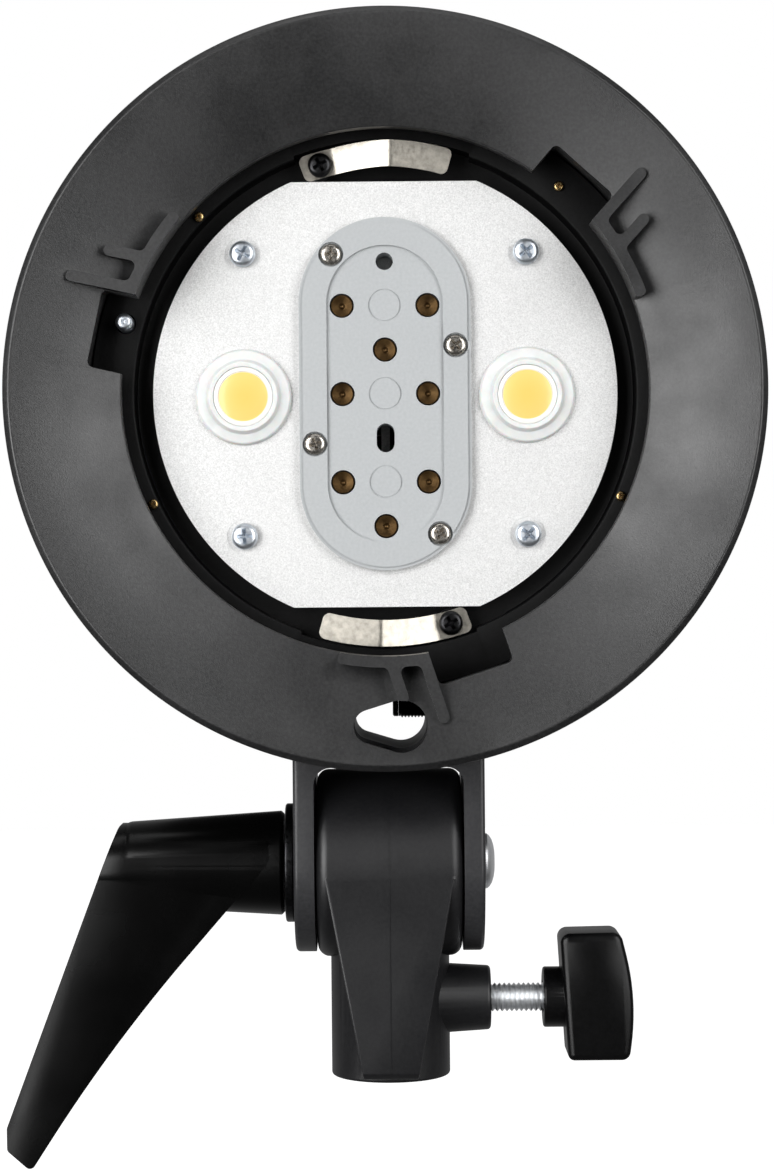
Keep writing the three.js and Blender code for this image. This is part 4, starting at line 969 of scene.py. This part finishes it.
def rear_panel():
    front, back = SHELL_BACK + GAP, PANEL_BACK
    cover = rounded_off(plate_shape(HOUSING_W, HOUSING_H, HOUSING_CORNER, front - 5, back, 24), 2.2, 6)
    cover = keep(cover, block((-80, front, -80), (80, back + 1, 80)))
    inner_w, inner_h = HOUSING_W - 2 * HOUSING_WALL, HOUSING_H - 2 * HOUSING_WALL
    lip = plate_shape(inner_w - 0.8, inner_h - 0.8, HOUSING_CORNER - 3, front - 3, front + 0.5, 24)
    hollow = plate_shape(inner_w - 5, inner_h - 5, HOUSING_CORNER - 5, front - 4, back - PANEL_THICK, 24)

    def opening(x, z, width, height, corner, depth=front - 5):
        shape = plate_shape(width + 2 * GAP, height + 2 * GAP, corner, depth, back + 1)
        return shifted(shape, x, 0, z)

    tools = [hollow, opening(DISPLAY_X, DISPLAY_Z, DISPLAY_W, DISPLAY_H, 2.3, back - 1.6)]
    tools += [opening(x, z, width, height, 2) for x, z, width, height in KEYS.values()]
    tools += [opening(LATCH_X, LATCH_Z + 0.75, LATCH_W, LATCH_H + 1.5, 1)]
    tools += [shifted(rod(DIAL_R + 0.6, back - 1.2, back + 1, segments=96), DIAL_X, 0, DIAL_Z),
              shifted(rod(3 + GAP, front - 5, back + 1), DIAL_X, 0, DIAL_Z),
              shifted(rod(JACK_R, front - 5, back + 1), JACK_X, 0, JACK_Z),
              shifted(turned([(2.6, back - 0.5), (3.6, back - 0.5), (3.6, back + 1), (2.6, back + 1)]),
                      JACK_X, 0, JACK_Z)]
    half = BATTERY_W / 2 + GAP
    bay = rect(-half, BATTERY_BOTTOM - GAP, half, BATTERY_TOP + GAP, 5, 3)
    tools.append(prism(bay, front - 5, back + 1))
    tools += dial_marks(back)
    panel = cut(join(cover, lip), *tools)
    on_head(soften(panel, 0.3), "panel_moulding", "head", "moulded_black", "housing", "rear_panel")
    corner_screws(back)


def dial_marks(back):
    """Cutters for eleven engraved marks round the dial, from lower left over the top to lower right."""
    marks = []
    for k in range(11):
        mark = block((-0.35, back - 0.35, DIAL_R + 1.6), (0.35, back + 1, DIAL_R + (3.4 if k % 5 else 4.2)))
        marks.append(shifted(spun(mark, 150 - 30 * k), DIAL_X, 0, DIAL_Z))
    return marks


def display():
    """Dark window, with a level to one decimal place and a row of ten bars lit behind the glass."""
    back = depth_mm("display_window")[1]
    glass = shifted(plate_shape(DISPLAY_W, DISPLAY_H, 2, back - 1, back), DISPLAY_X, 0, DISPLAY_Z)
    on_head(soften(glass, 0.2), "display_glass", "head", "display_glass", "glass", "display_window")
    lit = [segment_bar(place, name, back) for place, digit in ((14, "0"), (1, "1"), (-12, "5"))
           for name in SEGMENTS[digit]]
    lit.append(shifted(rod(0.8, back - 0.1, back + 0.08), DISPLAY_X - 6.4, 0, DISPLAY_Z - 4))
    for k in range(10):
        bar = block((-1.5, back - 0.1, -1), (1.5, back + 0.08, 1))
        lit.append(shifted(bar, DISPLAY_X + 20.5 - 4.4 * k, 0, DISPLAY_Z - 9.8))
    on_head(soften(merged(lit)), "display_digits", "head", "display_glass", "lit")


SEGMENTS = {"0": "abcdef", "1": "bc", "5": "acdfg"}


def segment_bar(place, name, back):
    """One bar of a seven-segment digit; the panel is read from behind, so +X is the reader's left."""
    half = 3.6
    right, up = {"a": (0, 2 * half), "g": (0, 0), "d": (0, -2 * half), "b": (-half, half),
                 "c": (-half, -half), "f": (half, half), "e": (half, -half)}[name]
    length, thick = 2.9, 0.65
    tip = [(-length, 0), (-length + thick, -thick), (length - thick, -thick), (length, 0),
           (length - thick, thick), (-length + thick, thick)]
    if name in "bcfe":
        tip = [(v, u) for u, v in tip]
    bar = prism(tip, back - 0.1, back + 0.08)
    return shifted(bar, DISPLAY_X + place + right, 0, DISPLAY_Z + 2.5 + up)


def corner_screws(back):
    """Cross-recessed screws that hold the rear panel, their heads let into it a little."""
    across, up, sunk = 50, 44, 0.3
    screws = [shifted(spun(pan_screw(2.4, 0.9, 1, 0, 2), 180, "Z"), x, back - sunk, z)
              for x, z in ((across, up), (-across, up), (-across, -up), (across, -up))]
    on_head(soften(merged(screws), 0.05), "panel_fixings", "head", "black_steel", "black_steel")


def dial():
    back, face = PANEL_BACK, PANEL_BACK + 10
    grips, steps = 24, 240
    edge = [polar(DIAL_R - 0.35 + 0.35 * math.tanh(3 * math.cos(grips * math.tau * k / steps)),
                  360 * k / steps) for k in range(steps)]
    knob = prism(edge, back - 0.7, face)
    crown = turned(rounded([(0, back - 1), (DIAL_R + 1, back - 1), (DIAL_R + 1, face - 2.4),
                            (DIAL_R - 1.4, face, 0.8), (DIAL_R - 3.6, face - 0.2, 0.6),
                            (DIAL_R - 4.4, face - 1, 0.6), (0, face - 1.2)], 5), "Y", 128)
    spindle = rod(3, SHELL_BACK - 3.7, back)
    pointer = block((-0.6, face - 3, DIAL_R - 3.9), (0.6, face + 1, DIAL_R + 1))
    knob = cut(join(keep(knob, crown), spindle), pointer)
    on_head(soften(shifted(knob, DIAL_X, 0, DIAL_Z), 0.15), "dial_moulding", "dial", "moulded_black",
            "housing", "control_dial")
    line = shifted(block((-0.45, face - 3.2, DIAL_R - 3.7), (0.45, face - 0.9, DIAL_R - 1.1)),
                   DIAL_X, 0, DIAL_Z)
    on_head(soften(line, 0.1), "dial_pointer", "dial", "key_grey", "mark")


def keys():
    for name, (x, z, width, height) in KEYS.items():
        front = depth_mm(f"{name}_button")[0]
        cap = rounded_off(plate_shape(width, height, 1.8, front + 0.5, PANEL_BACK + 1.4), 0.6, 4)
        dish = shifted(turned([(0, 0), (22, 0), (22, 30), (0, 30)], "Z", 96), 0, PANEL_BACK + 22.95, -15)
        flange = plate_shape(width + 2, height + 2, 2, front, PANEL_BACK - PANEL_THICK - GAP)
        key = cut(join(cap, flange), dish)
        finish = "key_red" if name == "power" else "key_grey"
        on_head(soften(shifted(key, x, 0, z), 0.1), f"{name}_key_cap", f"{name}_key", finish,
                finish, f"{name}_button")


def battery():
    """Pack with a ribbed finger recess and three contact pockets, and the red catch above it."""
    front, back = depth_mm("battery_pack")
    half = BATTERY_W / 2
    shape = rect(-half, BATTERY_BOTTOM, half, BATTERY_TOP, 4.6, 2.6, 8)
    body = rounded_off(prism(shape, front, back), 0.9)
    grip = prism(rect(-26, -43, 26, -31, 3, 3), back - 3, back + 1)
    ribs = [block((-24, back - 3.2, z), (24, back - 2, z + 1)) for z in (-40.5, -38.2, -35.9, -33.6)]
    pads = [block((x - 3, front - 1, -36), (x + 3, front + 4, -28)) for x in (-12, 0, 12)]
    body = join(cut(body, grip, *pads), *ribs)
    on_head(soften(body, 0.25), "battery_moulding", "battery", "moulded_black", "housing",
            "battery_pack")
    front = depth_mm("battery_latch")[0]
    thumb = rounded_off(plate_shape(LATCH_W, LATCH_H, 0.8, front + 0.5, PANEL_BACK + 1.6), 0.4, 3)
    flange = plate_shape(LATCH_W + 3, LATCH_H + 0.4, 0.8, front, PANEL_BACK - PANEL_THICK - GAP)
    notches = [block((-7, PANEL_BACK + 1.2, z), (7, PANEL_BACK + 3, z + 0.5)) for z in (-1.1, -0.2, 0.7)]
    latch = shifted(cut(join(thumb, flange), *notches), LATCH_X, 0, LATCH_Z)
    on_head(soften(latch, 0.1), "latch_moulding", "battery_catch", "key_red", "key_red",
            "battery_latch")


def inner_parts():
    """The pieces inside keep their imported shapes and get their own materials."""
    for node, material in (("heat_sink", "alloy"), ("capacitor", "sleeve"), ("main_board", "board"),
                           ("fan_frame", "housing"), ("fan_rotor", "housing"), ("clamp_pad", "brass")):
        slots = frame["nodes"][node].data.materials
        slots.clear()
        slots.append(MAT[material])


# ---------- stage, lights and camera ----------
def stage():
    """Pale floor well below the part. It takes shadows and throws no light back."""
    floor_z, reach = -300, 4000
    corners = [(-reach, -reach), (reach, -reach), (reach, reach), (-reach, reach)]
    floor = made("floor", [(x, y, floor_z) for x, y in corners], [[0, 1, 2, 3]])
    white = Recipe("floor_white", Roughness=0.9, Emission_Strength=0.95)
    white.shader.inputs["Emission Color"].default_value = (1, 1, 1, 1)
    white.colour(white.ramp(white.noise(400), (0.86, 0.86, 0.86), (0.88, 0.88, 0.88)))
    floor.data.materials.append(white.material)
    floor.visible_diffuse = False
    floor.visible_glossy = False


def softbox(name, azimuth, elevation, size, power):
    """Area light a metre from the lamp axis; azimuth is from the part's front towards +X."""
    data = bpy.data.lights.new(name, "AREA")
    data.shape = "RECTANGLE"
    data.size, data.size_y = size
    data.energy = power
    light = bpy.data.objects.new(name, data)
    centre = Vector((0, 0, HEAD_Z * MM))
    turn, lift = math.radians(azimuth), math.radians(elevation)
    away = Vector((math.sin(turn) * math.cos(lift), -math.cos(turn) * math.cos(lift), math.sin(lift)))
    light.location = centre + away
    light.rotation_euler = away.to_track_quat("Z", "Y").to_euler()
    light.visible_camera = False
    bpy.context.scene.collection.objects.link(light)


def world():
    """White to the eye all round; as a light, bright behind the part and dim in front of it."""
    scene_world = bpy.data.worlds.new("studio")
    bpy.context.scene.world = scene_world
    scene_world.use_nodes = True
    tree = scene_world.node_tree
    direction = tree.nodes.new("ShaderNodeTexCoord").outputs["Generated"]
    parts = tree.nodes.new("ShaderNodeSeparateXYZ")
    tree.links.new(direction, parts.inputs[0])
    ramp = tree.nodes.new("ShaderNodeMapRange")
    for socket, value in (("From Min", 0.0), ("From Max", 0.7), ("To Min", 0.08), ("To Max", 0.3)):
        ramp.inputs[socket].default_value = value
    tree.links.new(parts.outputs["Y"], ramp.inputs["Value"])
    seen = tree.nodes.new("ShaderNodeLightPath").outputs["Is Camera Ray"]
    strength = tree.nodes.new("ShaderNodeMath")
    strength.operation = "MAXIMUM"
    tree.links.new(ramp.outputs["Result"], strength.inputs[0])
    tree.links.new(seen, strength.inputs[1])
    background = tree.nodes["Background"]
    background.inputs["Color"].default_value = (1, 1, 1, 1)
    tree.links.new(strength.outputs[0], background.inputs["Strength"])


def lights():
    world()
    softbox("softbox_left", -40, 4, (0.7, 0.9), 12)
    softbox("softbox_right", 42, 12, (0.6, 0.9), 7.5)
    softbox("softbox_top", 0, 78, (0.9, 0.5), 2.5)


def camera():
    """Straight in front of the part, just above its middle, and rolled by half a degree."""
    distance, height, roll = 571, 101, 0.5
    data = bpy.data.cameras.new("camera")
    data.sensor_fit = "VERTICAL"
    data.sensor_height = 36
    data.lens = 83.9
    eye = bpy.data.objects.new("camera", data)
    eye.location = (0, -distance * MM, height * MM)
    eye.rotation_euler = (math.radians(90), math.radians(roll), 0)
    bpy.context.scene.collection.objects.link(eye)
    bpy.context.scene.camera = eye


for build in (mount_ring, mount_chamber, springs, lock, front_plate, lamp_socket, lamps, yoke,
              tilt_bolt, tilt_lever, stand_receiver, clamp, umbrella_clamp, housing_shell,
              rear_panel, display, dial, keys, battery, inner_parts, stage, lights, camera):
    build()
bpy.context.scene.view_settings.view_transform = "Standard"
